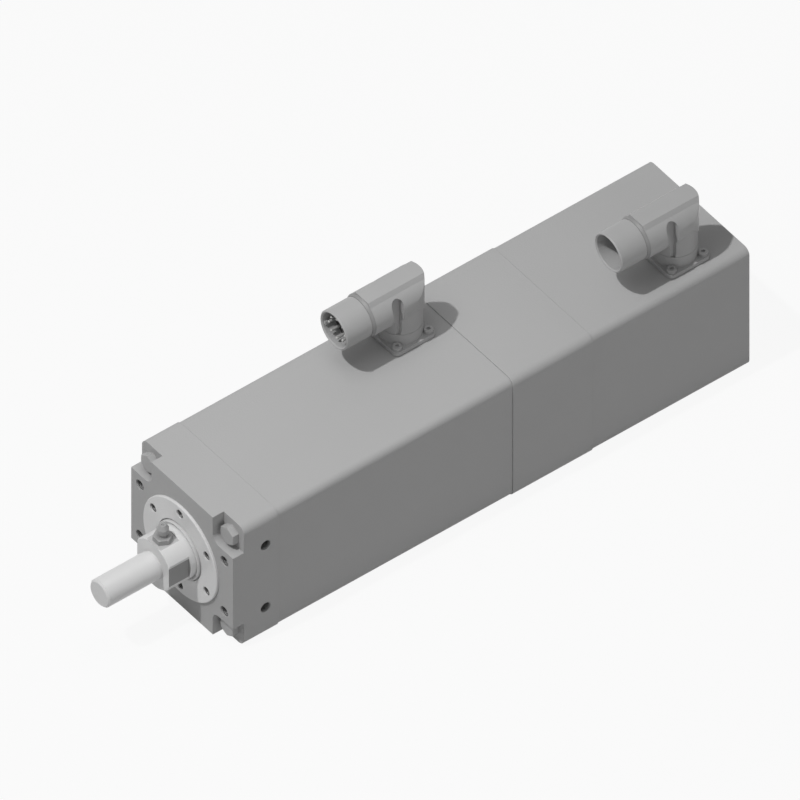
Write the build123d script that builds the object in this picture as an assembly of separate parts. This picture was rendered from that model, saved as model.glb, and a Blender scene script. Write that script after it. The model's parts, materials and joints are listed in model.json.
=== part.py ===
from build123d import *
import math
import os

# Electric cylinder, in millimetres. The origin is on the rod axis at the front block's front face.
# +X is the way the rod comes out and +Z is up, the side with the two connectors.

# Clearances
press_gap = 0.02
slip_gap = 0.05
running_gap = 0.08
end_gap = 0.1
brake_air_gap = 0.35
brake_notch_gap = 0.3

# How far cuts run past the faces that they open
overcut = 1.0

# Screw and bolt heads, as shares of the head's own size
head_crown_share = 0.08
socket_depth_share = 0.55
hex_crown_share = 0.95
hex_crown_drop = 0.35

# Square sections, front to back
frame_width = 82.0
frame_corner = 4.2
block_proud = 0.5
front_block_length = 29.0
motor_length = 149.4
mid_block_length = 50.8
rear_cover_length = 100.2
edge_break = 0.15

# Housing bore and the spigots that centre each section in the next
housing_wall = 4.0
housing_bore = frame_width - 2 * housing_wall
front_spigot_length = 12.0
mid_spigot_length = 7.0
ring_thickness = 2.0
ring_groove_depth = 2.07
ring_groove_width = 2.6
ring_groove_setback = 3.2

# Front block
pocket_depth = 7.0
pocket_fillet = 5.0
face_hole_edge = 7.15
face_hole_ledge = 7.2
side_hole_setback = 20.8
side_hole_spacing = 44.0
tapped_hole = 6.0
tapped_mouth = 6.3
face_hole_depth = 12.0
side_hole_depth = 9.0
screw_hole_runout = 1.0

# Tie bolts and rear screws, on one square pitch
bolt_edge = 8.7
bolt_head_clearance = 7.3
bolt_pitch = frame_width - 2 * bolt_edge
pocket_edge = bolt_pitch / 2 - bolt_head_clearance
face_hole_spacing_y = frame_width + 2 * block_proud - 2 * face_hole_edge
face_hole_spacing_z = 2 * (pocket_edge - face_hole_ledge)
bolt_thread = 6.0
bolt_clearance_hole = 6.6
bolt_across_flats = 10.0
bolt_head_height = 4.0
bolt_engagement = 21.6
bolt_length = front_block_length - pocket_depth + motor_length + bolt_engagement
rear_screw_thread = 5.0
rear_screw_hole = 5.5
rear_screw_head = 8.5
rear_screw_head_height = 5.0
rear_screw_socket = 4.0
rear_screw_engagement = 12.0
rear_counterbore = 9.2
rear_counterbore_depth = 5.6

# Guide plate and its sleeve
plate_ledge = 11.0
plate_diameter = frame_width - 2 * plate_ledge
plate_proud = 1.5
plate_recess = 6.0
plate_chamfer = 0.4
plate_hole_edge = 5.0
plate_hole_pitch_circle = plate_diameter - 2 * plate_hole_edge
plate_hole = 5.0
plate_hole_mouth = 5.3
plate_hole_depth = 6.5
plate_hole_count = 6
plate_hole_turn = 30.0
sleeve_diameter = 44.0
wiper_seat_diameter = 35.2
wiper_seat_depth = 6.0
land_diameter = 30.8
land_length = 1.5
seal_groove_diameter = 38.0
seal_width = 5.2
seal_lip_depth = 2.1
seal_lip_half_width = 0.5
bush_diameter = 34.0
bush_length = 20.0
ring_nut_diameter = 52.0
ring_nut_length = 5.0
ring_nut_slot_width = 5.0
ring_nut_slot_depth = 2.0
ring_nut_slot_count = 4
sleeve_end_margin = 0.7
wiper_lip_diameter = 33.8
wiper_lip_proud = 2.9
wiper_lip_step = 0.3
wiper_lip_chamfer = 0.25
wiper_edge_width = 1.1
wiper_edge_drop = 0.8
wiper_edge_land = 2.2
wiper_heel = 1.2

# Piston rod
rod_diameter = 30.0
rod_bore = 21.0
rod_nose = 18.4
rod_solid_length = 26.0
rod_chamfer = 0.6
flat_across = 25.75
flat_back = 5.7
top_flat_height = 14.0
top_flat_back = 6.2
stud_diameter = 16.0
stud_length = 34.4
stud_chamfer = 1.0
stud_relief_diameter = 15.0
stud_relief_length = 1.2
grease_channel = 3.0

# Grease nipple
nipple_station = 12.3
nipple_across_flats = 9.0
nipple_hex_height = 3.2
nipple_thread = 6.0
nipple_thread_length = 6.0
nipple_neck_diameter = 5.0
nipple_neck_top = 4.6
nipple_head_diameter = 6.5
nipple_head_bottom = 5.6
nipple_head_top = 8.1
nipple_tip_diameter = 3.6
nipple_height = 10.4
nipple_mouth = 1.6

# Screw drive
screw_diameter = 20.0
screw_tail_diameter = 15.0
screw_end_margin = 5.0
screw_end_chamfer = 0.5
guide_ring_length = 6.0
guide_ring_bore = 16.0
nut_diameter = 36.0
nut_length = 42.0
nut_socket_length = 15.0
nut_back_gap = 2.0
nut_chamfer = 0.8
stroke_allowance = 79.4
stroke = motor_length - stroke_allowance

# Rotor and stator
rotor_bore = 38.0
rotor_seat_diameter = 44.0
rotor_collar_diameter = 48.4
rotor_collar_length = 4.0
rotor_end_gap = 0.2
magnet_diameter = 48.8
magnet_count = 8
magnet_arc = 41.0
stator_bore = 50.0
stator_front_inset = 31.0
stator_back_inset = 28.4
stator_length = motor_length - stator_front_inset - stator_back_inset
slot_count = 12
slot_opening = 3.0
tooth_tip_share = 0.167
yoke_share = 0.317
stator_wall = (housing_bore - stator_bore) / 2
slot_inner_radius = stator_bore / 2 + tooth_tip_share * stator_wall
slot_outer_radius = housing_bore / 2 - yoke_share * stator_wall
slot_inner_width = 8.0
slot_outer_width = 11.4
slot_liner = 0.5
winding_overhang = 11.0
winding_end_gap = 0.1
winding_end_inset = 0.4
web_length = 11.0
web_inset = 13.4

# Front rotor bearing
front_bearing_outer = 58.0
front_bearing_inner = 45.0
front_bearing_width = 7.0
front_bearing_ball = 4.4
front_ball_count = 15
bearing_shoulder = 54.0
race_depth_share = 0.32

# Thrust bearing pair
cover_rim = 4.0
cover_diameter = housing_bore - 2 * cover_rim
cover_bore = 41.0
cover_nip = 0.2
cover_screw_edge = 4.0
cover_screw_circle = cover_diameter - 2 * cover_screw_edge
cover_screw_ledge = 3.0
thrust_outer = cover_screw_circle - 2 * cover_screw_ledge
thrust_inner = 25.0
thrust_width = 15.0
thrust_count = 2
thrust_ball = 8.2
thrust_ball_count = 11
thrust_wall = 8.0
thrust_shoulder_diameter = 31.0
thrust_seat_ledge = 3.0
front_wall_hole = thrust_outer - 2 * thrust_seat_ledge
spigot_relief = 60.0
lock_nut_diameter = 38.0
lock_nut_length = 7.0
cover_screw_count = 6
cover_screw_thread = 4.0
cover_screw_hole = 4.4
cover_screw_head = 7.0
cover_screw_head_height = 4.0
cover_screw_socket = 3.0
cover_screw_engagement = 8.0
cover_counterbore = 7.8
cover_counterbore_depth = 4.6
journal_run = 9.6

# Rear cover
rear_wall = 8.0
rear_spigot_length = 6.0

# Holding brake
brake_plate_thickness = 4.0
brake_plate_bore = 28.0
brake_disc_thickness = 5.8
brake_hub_across = 18.0
brake_hub_corner = 3.0
brake_hub_setback = 1.0
brake_hub_length = 9.6
brake_armature_bore = 26.0
brake_armature_thickness = 5.0
brake_body_inset = 0.5
brake_body_diameter = cover_diameter - 2 * brake_body_inset
brake_armature_inset = 2.0
brake_armature_diameter = brake_body_diameter - 2 * brake_armature_inset
brake_body_length = 24.0
brake_body_bore = 20.0
brake_coil_wall = 9.5
brake_coil_outer = brake_body_diameter - 2 * brake_coil_wall
brake_coil_inner = 30.0
brake_coil_depth = 15.0
brake_coil_recess = 0.4
brake_screw_engagement = 7.0
brake_screw_count = 3
brake_spacer_diameter = 6.0
brake_disc_gap = 1.0
brake_disc_diameter = cover_screw_circle - brake_spacer_diameter - 2 * brake_disc_gap

# Resolver
resolver_stand_off = 29.4
resolver_length = 12.0
resolver_rotor_diameter = 24.0
resolver_air_gap = 0.5
resolver_stator_diameter = 44.0
resolver_boss_diameter = 54.0
resolver_boss_margin = 2.0
tail_stand_off = 15.4

# Connectors, measured from each neck axis and from the housing's top face
connector_edge = 20.2
connector_offset = frame_width / 2 - connector_edge
power_station = 155.4
signal_station = 297.7
flange_width = 26.5
flange_corner = 3.2
gasket_thickness = 0.3
gasket_inset = 0.4
flange_thickness = 2.3
flange_bore = 20.6
collar_diameter = 23.1
collar_top = 9.5
flange_screw_pitch = 20.0
flange_screw_thread = 3.0
flange_screw_clearance = 3.2
flange_screw_head = 5.0
flange_screw_head_height = 2.0
flange_screw_socket = 2.0
flange_screw_engagement = 4.9
flange_screw_runout = 0.3
neck_diameter = 22.9
neck_spigot_gap = 0.5
neck_seal_thickness = 1.0
neck_seal_height = 5.5
neck_groove_width = 1.6
elbow_rear_diameter = 24.2
barrel_diameter = 26.8
barrel_axis_height = 27.5
barrel_front = 24.7
barrel_chamfer = 0.5
elbow_top = 39.8
elbow_flat_width = 10.6
elbow_side_slope = 63.0
elbow_rim = 1.0
elbow_slot_back = 6.8
elbow_slot_width = 9.0
elbow_slot_top = 36.7
elbow_web = 14.6
elbow_wall = 1.3
elbow_bore = elbow_web - 2 * elbow_wall
wire_bore = 16.0
barrel_bore = 11.0
nose_diameter = 22.5
nose_front = 42.6
nose_chamfer = 0.6
nose_bore = 19.5
nose_rear_bore = 16.0
nose_spigot_diameter = 18.4
nose_spigot_length = 7.0
nose_end_gap = 0.2
key_width = 1.8
key_height = 1.3
key_setback = 1.2
power_key_turn = 195.0
signal_key_turn = 0.0
insert_thickness = 5.0
power_insert_depth = 8.0
signal_insert_depth = 11.5
power_pin_diameter = 1.6
power_pin_circle = 13.0
power_pin_count = 8
power_pin_setback = 1.6
power_pin_taper = 0.5
signal_contact_diameter = 1.8
signal_contact_bore = 1.0
signal_contact_circle = 12.6
signal_contact_count = 9
contact_tail = 3.0

# Stations along the rod axis, worked out from the sizes above
half_frame = frame_width / 2
front_joint = -front_block_length
mid_joint = front_joint - motor_length
rear_joint = mid_joint - mid_block_length
rear_end = rear_joint - rear_cover_length
bolt_seat = -pocket_depth
front_spigot_end = front_joint - front_spigot_length
mid_spigot_end = mid_joint + mid_spigot_length
rear_spigot_end = rear_joint - rear_spigot_length
wiper_seat_back = plate_proud - wiper_seat_depth
seal_front = wiper_seat_back - land_length
seal_back = seal_front - seal_width
bush_front = seal_back - land_length
bush_back = bush_front - bush_length
front_bearing_front = front_spigot_end + front_bearing_width
ring_nut_back = bush_back + sleeve_end_margin
ring_nut_seat = ring_nut_back + ring_nut_length
rotor_front = front_bearing_front - rotor_end_gap
stator_front = front_joint - stator_front_inset
stator_back = stator_front - stator_length
web_front = mid_joint + web_inset
web_back = web_front - web_length
thrust_front = mid_joint - thrust_wall
thrust_back = thrust_front - thrust_count * thrust_width
cover_floor = thrust_back + cover_nip
journal_end = thrust_back - journal_run
nut_back = web_front + nut_back_gap
nut_front = nut_back + nut_length
screw_front = nut_front + stroke + guide_ring_length + screw_end_margin
guide_ring_front = screw_front - screw_end_chamfer
rod_back = nut_front + end_gap
brake_disc_front = rear_joint - brake_plate_thickness - slip_gap
brake_disc_back = brake_disc_front - brake_disc_thickness
armature_front = brake_disc_back - slip_gap
armature_back = armature_front - brake_armature_thickness
brake_body_front = armature_back - brake_air_gap
brake_body_back = brake_body_front - brake_body_length
brake_coil_floor = brake_body_front - brake_coil_depth
resolver_front = rear_end + resolver_stand_off
resolver_back = resolver_front - resolver_length
tail_end = rear_end + tail_stand_off
cover_wall_front = rear_end + rear_wall
brake_plate_back = rear_joint - brake_plate_thickness
flange_top = gasket_thickness + flange_thickness
elbow_bottom = collar_top + end_gap
power_insert_front = nose_front - power_insert_depth
signal_insert_front = nose_front - signal_insert_depth


def across(station):
    """The plane across the rod axis at a station, facing forwards."""
    return Plane.YZ.offset(station)


def facing_back(station):
    """The plane across the rod axis at a station, facing backwards."""
    return Plane(origin=(station, 0, 0), x_dir=(0, -1, 0), z_dir=(-1, 0, 0))


def prism(outline, back, front):
    """An outline drawn across the rod axis, drawn out between two stations."""
    return extrude(across(back) * outline, front - back)


def disc(diameter, back, front):
    """A cylinder on the rod axis."""
    return prism(Circle(diameter / 2), back, front)


def tube(outer, inner, back, front):
    """A hollow cylinder on the rod axis."""
    return prism(Circle(outer / 2) - Circle(inner / 2), back, front)


def turned(*points):
    """A solid turned about the rod axis from its (station, radius) outline."""
    outline = Polyline(*[(x, 0, r) for x, r in points], close=True)
    return revolve(make_face(outline), Axis.X)


def group(shapes):
    """Separate solids kept in one node."""
    return Compound([solid for shape in shapes for solid in shape.solids()])


def square(width, corner):
    """A square outline with rounded corners."""
    return RectangleRounded(width, width, corner)


def ring_of(count, circle, offset=0.0):
    """Places on a pitch circle, the first at an angle in degrees."""
    return PolarLocations(circle / 2, count, start_angle=offset)


def corners(pitch):
    """The four corners of a square pitch."""
    return GridLocations(pitch, pitch, 2, 2)


def cap_screw(thread, head, head_height, socket, length):
    """A socket head screw along Z, its head's seat at zero and its shank below."""
    body = extrude(Circle(head / 2), head_height) + extrude(Circle(thread / 2), -length)
    top_edge = body.edges().group_by(Axis.Z)[-1]
    body = chamfer(top_edge, head_height * head_crown_share)
    recess = RegularPolygon(socket / 2, 6, major_radius=False)
    return body - Pos(0, 0, head_height) * extrude(recess, -head_height * socket_depth_share)


def hexagon(across_flats, height):
    """A hexagon prism along Z with its upper corners turned off."""
    flat = across_flats / 2
    corner = flat / math.cos(math.radians(30))
    blank = extrude(RegularPolygon(flat, 6, major_radius=False, rotation=90), height)
    crown = extrude(Circle(corner), height)
    top_edge = crown.edges().group_by(Axis.Z)[-1]
    crown = chamfer(top_edge, hex_crown_drop, corner - flat * hex_crown_share)
    return blank & crown


def tapped(size, mouth, depth):
    """A blind hole along -Z from zero, with a broken edge at its mouth."""
    align = (Align.CENTER, Align.CENTER, Align.MAX)
    funnel = Cone(size / 2, mouth / 2, (mouth - size) / 2, align=align)
    return extrude(Circle(size / 2), -depth) + funnel


def ball_ring(ball, count, circle, station):
    """Balls on a circle about the rod axis."""
    return group([across(station) * place * Sphere(ball / 2) for place in ring_of(count, circle)])


def square_section(width, corner, back, front):
    """A length of the square body with its end edges broken."""
    body = prism(square(width, corner), back, front)
    ends = body.edges().group_by(Axis.X)
    return chamfer(ends[0] + ends[-1], edge_break)


def ring_groove(station):
    """The O-ring groove cut round a spigot."""
    spigot = housing_bore - 2 * slip_gap
    floor = spigot - 2 * ring_groove_depth
    half = ring_groove_width / 2
    return tube(housing_bore + overcut, floor, station - half, station + half)


def front_block():
    """Square block at the front, with corner pockets for the bolts and a spigot behind."""
    width = frame_width + 2 * block_proud
    body = square_section(width, frame_corner + block_proud, front_joint, 0)
    body += disc(housing_bore - 2 * slip_gap, front_spigot_end, front_joint)
    pocket = square(pocket_edge, pocket_fillet)
    for place in corners(3 * pocket_edge):
        body -= prism(place * pocket, bolt_seat, overcut)
    for place in corners(bolt_pitch):
        hole = place * Circle(bolt_clearance_hole / 2)
        body -= prism(hole, front_joint - overcut, overcut)
    open_end = front_spigot_end - overcut
    body -= disc(plate_diameter + 2 * slip_gap, -plate_recess, overcut)
    body -= disc(sleeve_diameter + 2 * slip_gap, open_end, 0)
    body -= disc(bearing_shoulder, open_end, ring_nut_seat)
    body -= disc(front_bearing_outer + 2 * press_gap, open_end, front_bearing_front)
    body -= ring_groove(front_joint - ring_groove_setback)
    face_hole = tapped(tapped_hole, tapped_mouth, face_hole_depth)
    for place in GridLocations(face_hole_spacing_y, face_hole_spacing_z, 2, 2):
        body -= across(0) * place * face_hole
    side_hole = tapped(tapped_hole, tapped_mouth, side_hole_depth)
    for side in (1, -1):
        face = Plane(
            origin=(-side_hole_setback, side * width / 2, 0), x_dir=(0, 0, 1), z_dir=(0, side, 0)
        )
        for place in GridLocations(side_hole_spacing, 1, 2, 1):
            body -= face * place * side_hole
    return body


def guide_plate():
    """Round plate with a sleeve that holds the wiper, seal and bush."""
    plate = plate_diameter / 2
    sleeve = sleeve_diameter / 2
    outline = [
        (bush_back, bush_diameter / 2 + press_gap),
        (bush_back, sleeve),
        (-plate_recess, sleeve),
        (-plate_recess, plate),
        (plate_proud - plate_chamfer, plate),
        (plate_proud, plate - plate_chamfer),
        (plate_proud, wiper_seat_diameter / 2),
        (wiper_seat_back, wiper_seat_diameter / 2),
        (wiper_seat_back, land_diameter / 2),
        (seal_front, land_diameter / 2),
        (seal_front, seal_groove_diameter / 2),
        (seal_back, seal_groove_diameter / 2),
        (seal_back, land_diameter / 2),
        (bush_front, land_diameter / 2),
        (bush_front, bush_diameter / 2 + press_gap),
    ]
    body = turned(*outline)
    hole = tapped(plate_hole, plate_hole_mouth, plate_hole_depth)
    for place in ring_of(plate_hole_count, plate_hole_pitch_circle, plate_hole_turn):
        body -= across(plate_proud) * place * hole
    return body


def guide_ring_nut():
    """Slotted ring nut that draws the guide plate back into the block."""
    body = tube(ring_nut_diameter, sleeve_diameter + 2 * slip_gap, ring_nut_back, ring_nut_seat)
    slot = Rectangle(2 * ring_nut_slot_depth, ring_nut_slot_width)
    for place in ring_of(ring_nut_slot_count, ring_nut_diameter):
        body -= prism(place * slot, ring_nut_back - overcut, ring_nut_seat + overcut)
    return body


def rod_wiper():
    """Wiper seated in the plate, with a lip that stands out around the rod."""
    seat = wiper_seat_diameter / 2 - slip_gap
    lip = wiper_lip_diameter / 2
    bore = rod_diameter / 2 + running_gap
    edge = wiper_lip_proud - wiper_edge_drop
    return turned(
        (wiper_seat_back, bore + wiper_heel),
        (wiper_seat_back, seat),
        (wiper_lip_step, seat),
        (wiper_lip_step, lip),
        (wiper_lip_proud - wiper_lip_chamfer, lip),
        (wiper_lip_proud, lip - wiper_lip_chamfer),
        (wiper_lip_proud, bore + wiper_edge_width),
        (edge, bore),
        (edge - wiper_edge_land, bore),
    )


def rod_seal():
    """Grooved ring seal behind the wiper."""
    bore = rod_diameter / 2 + running_gap
    outer = seal_groove_diameter / 2 - slip_gap
    middle = (bore + outer) / 2
    back = seal_back + slip_gap
    front = seal_front - slip_gap
    return turned(
        (back, bore),
        (back, middle - seal_lip_half_width),
        (back + seal_lip_depth, middle),
        (back, middle + seal_lip_half_width),
        (back, outer),
        (front, outer),
        (front, bore),
    )


def tie_bolts():
    """Hex bolts that clamp the front block and the motor housing to the mid block."""
    head = hexagon(bolt_across_flats, bolt_head_height)
    bolt = head + extrude(Circle(bolt_thread / 2), -bolt_length)
    return group([across(bolt_seat) * place * bolt for place in corners(bolt_pitch)])


def wire_hole(station, side):
    """The hole through the wall below a connector, with its four tapped holes."""
    hole = extrude(Circle(wire_bore / 2), -(half_frame - connector_offset))
    screw_hole = Circle(flange_screw_thread / 2 + slip_gap)
    for place in corners(flange_screw_pitch):
        hole += place * extrude(screw_hole, -(flange_screw_engagement + flange_screw_runout))
    return Pos(-station, side * connector_offset, half_frame) * hole


def motor_housing():
    """Square housing bored for the stator, with the tie bolts through its corners."""
    body = square_section(frame_width, frame_corner, mid_joint, front_joint)
    back = mid_joint - overcut
    front = front_joint + overcut
    body -= disc(housing_bore, back, front)
    for place in corners(bolt_pitch):
        body -= prism(place * Circle(bolt_clearance_hole / 2), back, front)
    return body - wire_hole(power_station, -1)


def housing_o_rings():
    """O-rings on the three spigots."""
    centre = housing_bore / 2 - slip_gap - ring_thickness / 2
    stations = [
        front_joint - ring_groove_setback,
        mid_joint + ring_groove_setback,
        rear_joint - ring_groove_setback,
    ]
    return group([across(x) * Torus(centre, ring_thickness / 2) for x in stations])


def slot_outline(margin=0.0):
    """One stator slot, narrower by a margin on every side."""
    inner = slot_inner_width / 2 - margin
    outer = slot_outer_width / 2 - margin
    near = slot_inner_radius + margin
    far = slot_outer_radius - margin
    points = [(near, -inner), (far, -outer), (far, outer), (near, inner)]
    return make_face(Polyline(*points, close=True))


def stator_core():
    """Laminated core with a ring of open slots."""
    body = tube(housing_bore - 2 * press_gap, stator_bore, stator_back, stator_front)
    mouth_centre = (stator_bore / 2 + slot_inner_radius) / 2
    mouth_length = slot_inner_radius - stator_bore / 2 + 2 * overcut
    slot = slot_outline() + Pos(mouth_centre, 0) * Rectangle(mouth_length, slot_opening)
    for place in PolarLocations(0, slot_count):
        body -= prism(place * slot, stator_back - overcut, stator_front + overcut)
    return body


def stator_windings():
    """Coils through every slot, joined by the end turns at both ends."""
    inner = 2 * (slot_inner_radius + winding_end_inset)
    outer = 2 * (slot_outer_radius - winding_end_inset)
    front = stator_front + winding_end_gap
    back = stator_back - winding_end_gap
    body = tube(outer, inner, front, stator_front + winding_overhang)
    body += tube(outer, inner, stator_back - winding_overhang, back)
    bar = slot_outline(slot_liner)
    for place in PolarLocations(0, slot_count):
        body += prism(place * bar, back - overcut, front + overcut)
    return body


def mid_block():
    """Block that holds the thrust bearings, with a spigot at each end."""
    width = frame_width + 2 * block_proud
    spigot = housing_bore - 2 * slip_gap
    body = square_section(width, frame_corner + block_proud, rear_joint, mid_joint)
    body += disc(spigot, mid_joint, mid_spigot_end)
    body += disc(spigot, rear_spigot_end, rear_joint)
    body -= disc(spigot_relief, mid_joint, mid_spigot_end + overcut)
    body -= disc(front_wall_hole, thrust_front - overcut, mid_joint + overcut)
    body -= disc(thrust_outer + 2 * press_gap, thrust_back - overcut, thrust_front)
    body -= disc(cover_diameter, rear_spigot_end - overcut, cover_floor)
    body -= ring_groove(mid_joint + ring_groove_setback)
    body -= ring_groove(rear_joint - ring_groove_setback)
    bolt_hole = Circle(bolt_thread / 2 + slip_gap)
    bolt_hole_end = bolt_seat - bolt_length - screw_hole_runout
    rear_hole = Circle(rear_screw_thread / 2 + slip_gap)
    rear_hole_end = rear_joint + rear_screw_engagement + screw_hole_runout
    for place in corners(bolt_pitch):
        body -= prism(place * bolt_hole, bolt_hole_end, mid_joint + overcut)
        body -= prism(place * rear_hole, rear_joint - overcut, rear_hole_end)
    cover_hole = Circle(cover_screw_thread / 2 + slip_gap)
    cover_hole_end = cover_floor + cover_screw_engagement + screw_hole_runout
    for place in ring_of(cover_screw_count, cover_screw_circle):
        body -= prism(place * cover_hole, rear_joint, cover_hole_end)
    return body


def bearing_rings(outer, inner, ball, width, front, count=1):
    """Outer and inner rings with a ball track between them, for each bearing of a set."""
    circle = (outer + inner) / 4
    height = (outer - inner) / 4 - ball * race_depth_share
    outers = []
    inners = []
    for number in range(count):
        back = front - (number + 1) * width
        centre = back + width / 2
        track = across(centre) * Torus(circle, ball / 2 + slip_gap)
        outers.append(tube(outer, 2 * (outer / 2 - height), back, back + width) - track)
        inners.append(tube(inner + 2 * height, inner, back, back + width) - track)
    return group(outers), group(inners)


def bearing_lock_nut():
    """Slotted nut that clamps the inner rings on the rotor hub."""
    front = thrust_back
    back = front - lock_nut_length
    body = tube(lock_nut_diameter, thrust_inner + 2 * slip_gap, back, front)
    slot = Rectangle(2 * ring_nut_slot_depth, ring_nut_slot_width)
    for place in ring_of(ring_nut_slot_count, lock_nut_diameter):
        body -= prism(place * slot, back - overcut, front + overcut)
    return body


def bearing_cover():
    """Ring that clamps the outer rings and carries the brake."""
    body = tube(cover_diameter - 2 * slip_gap, cover_bore, rear_joint, thrust_back)
    back = rear_joint - overcut
    counterbore_end = rear_joint + cover_counterbore_depth
    for place in ring_of(cover_screw_count, cover_screw_circle):
        body -= prism(place * Circle(cover_screw_hole / 2), back, thrust_back + overcut)
        body -= prism(place * Circle(cover_counterbore / 2), back, counterbore_end)
    brake_hole = Circle(cover_screw_thread / 2 + slip_gap)
    brake_hole_end = rear_joint + brake_screw_engagement + screw_hole_runout
    for place in brake_screw_places():
        body -= prism(place * brake_hole, back, brake_hole_end)
    return body


def bearing_cover_screws():
    """Screws that hold the bearing cover."""
    seat = rear_joint + cover_counterbore_depth
    length = cover_floor - seat + cover_screw_engagement
    screw = cap_screw(
        cover_screw_thread, cover_screw_head, cover_screw_head_height, cover_screw_socket, length
    )
    places = ring_of(cover_screw_count, cover_screw_circle)
    return group([facing_back(seat) * place * screw for place in places])


def rear_cover():
    """Square cover over the brake and resolver, closed at the rear."""
    body = square_section(frame_width, frame_corner, rear_end, rear_joint)
    boss_front = resolver_front + resolver_boss_margin
    cavity = disc(housing_bore, cover_wall_front, rear_joint + overcut)
    boss = tube(resolver_boss_diameter, resolver_stator_diameter, cover_wall_front, boss_front)
    body -= cavity - boss
    shank_hole = Circle(rear_screw_hole / 2)
    counterbore = Circle(rear_counterbore / 2)
    back = rear_end - overcut
    for place in corners(bolt_pitch):
        body -= prism(place * shank_hole, back, rear_joint + overcut)
        body -= prism(place * counterbore, back, rear_end + rear_counterbore_depth)
    return body - wire_hole(signal_station, 1)


def rear_cover_screws():
    """Long screws through the rear cover's corners."""
    seat = rear_end + rear_counterbore_depth
    length = rear_joint - seat + rear_screw_engagement
    screw = cap_screw(
        rear_screw_thread, rear_screw_head, rear_screw_head_height, rear_screw_socket, length
    )
    return group([facing_back(seat) * place * screw for place in corners(bolt_pitch)])


def brake_screw_places():
    """The brake's screw places, between the bearing cover's screws."""
    return ring_of(brake_screw_count, cover_screw_circle, 90)


def brake_plate():
    """Fixed friction plate of the brake."""
    body = tube(brake_body_diameter, brake_plate_bore, brake_plate_back, rear_joint)
    for place in brake_screw_places():
        hole = place * Circle(cover_screw_hole / 2)
        body -= prism(hole, brake_plate_back - overcut, rear_joint + overcut)
    return body


def brake_spacers():
    """Sleeves that set the brake's air gap and guide the armature."""
    outline = Circle(brake_spacer_diameter / 2) - Circle(cover_screw_hole / 2)
    places = brake_screw_places()
    return group([prism(place * outline, brake_body_front, brake_plate_back) for place in places])


def brake_armature():
    """Armature disc, notched round the spacers so that it slides and doesn't turn."""
    body = tube(brake_armature_diameter, brake_armature_bore, armature_back, armature_front)
    width = brake_spacer_diameter + 2 * brake_notch_gap
    notch = Circle(width / 2) + Pos(width / 2, 0) * Rectangle(width, width)
    for place in brake_screw_places():
        body -= prism(place * notch, armature_back - overcut, armature_front + overcut)
    return body


def brake_coil_body():
    """Magnet body of the brake, grooved for the coil."""
    front = brake_body_front + overcut
    body = tube(brake_body_diameter, brake_body_bore, brake_body_back, brake_body_front)
    body -= tube(brake_coil_outer, brake_coil_inner, brake_coil_floor, front)
    for place in brake_screw_places():
        hole = place * Circle(cover_screw_hole / 2)
        body -= prism(hole, brake_body_back - overcut, front)
    return body


def brake_coil():
    """Potted coil in the magnet body's groove."""
    outer = brake_coil_outer - 2 * slip_gap
    inner = brake_coil_inner + 2 * slip_gap
    return tube(outer, inner, brake_coil_floor, brake_body_front - brake_coil_recess)


def brake_screws():
    """Screws that hold the brake to the bearing cover."""
    length = rear_joint + brake_screw_engagement - brake_body_back
    screw = cap_screw(
        cover_screw_thread, cover_screw_head, cover_screw_head_height, cover_screw_socket, length
    )
    places = brake_screw_places()
    return group([facing_back(brake_body_back) * place * screw for place in places])


def brake_hub():
    """Square hub on the screw's tail that turns the friction disc."""
    front = rear_joint - brake_hub_setback
    outline = square(brake_hub_across, brake_hub_corner)
    outline -= Circle(screw_tail_diameter / 2 + press_gap)
    return prism(outline, front - brake_hub_length, front)


def brake_friction_disc():
    """Friction disc between the plate and the armature."""
    outline = Circle(brake_disc_diameter / 2)
    outline -= square(brake_hub_across + 2 * slip_gap, brake_hub_corner)
    return prism(outline, brake_disc_back, brake_disc_front)


def resolver_stator():
    """Wound ring of the resolver, seated in the rear cover's boss."""
    inner = resolver_rotor_diameter + 2 * resolver_air_gap
    return tube(resolver_stator_diameter - 2 * slip_gap, inner, resolver_back, resolver_front)


def resolver_rotor():
    """Wound ring of the resolver on the screw's tail."""
    bore = screw_tail_diameter + 2 * press_gap
    return tube(resolver_rotor_diameter, bore, resolver_back, resolver_front)


def rotor_sleeve():
    """Hollow rotor that the ball nut travels in, with the hub that the thrust bearings carry."""
    bore = rotor_bore / 2
    seat = rotor_seat_diameter / 2
    collar = rotor_collar_diameter / 2
    hub = thrust_inner / 2 - press_gap
    shoulder = thrust_shoulder_diameter / 2
    tail = screw_tail_diameter / 2 + press_gap
    collar_front = front_spigot_end
    return turned(
        (rotor_front, bore),
        (rotor_front, front_bearing_inner / 2 - press_gap),
        (collar_front, front_bearing_inner / 2 - press_gap),
        (collar_front, collar),
        (collar_front - rotor_collar_length, collar),
        (collar_front - rotor_collar_length, seat),
        (web_front, seat),
        (web_front, collar),
        (web_back, collar),
        (web_back, shoulder),
        (thrust_front, shoulder),
        (thrust_front, hub),
        (journal_end, hub),
        (journal_end, tail),
        (web_front, tail),
        (web_front, bore),
    )


def rotor_magnets():
    """Curved magnets bonded round the rotor sleeve."""
    inner = rotor_seat_diameter / 2 + press_gap
    outer = magnet_diameter / 2
    half_width = magnet_diameter * math.tan(math.radians(magnet_arc / 2))
    sides = [(0, 0), (magnet_diameter, -half_width), (magnet_diameter, half_width)]
    outline = (Circle(outer) - Circle(inner)) & Polygon(*sides, align=None)
    places = PolarLocations(0, magnet_count)
    return group([prism(place * outline, stator_back, stator_front) for place in places])


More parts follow.
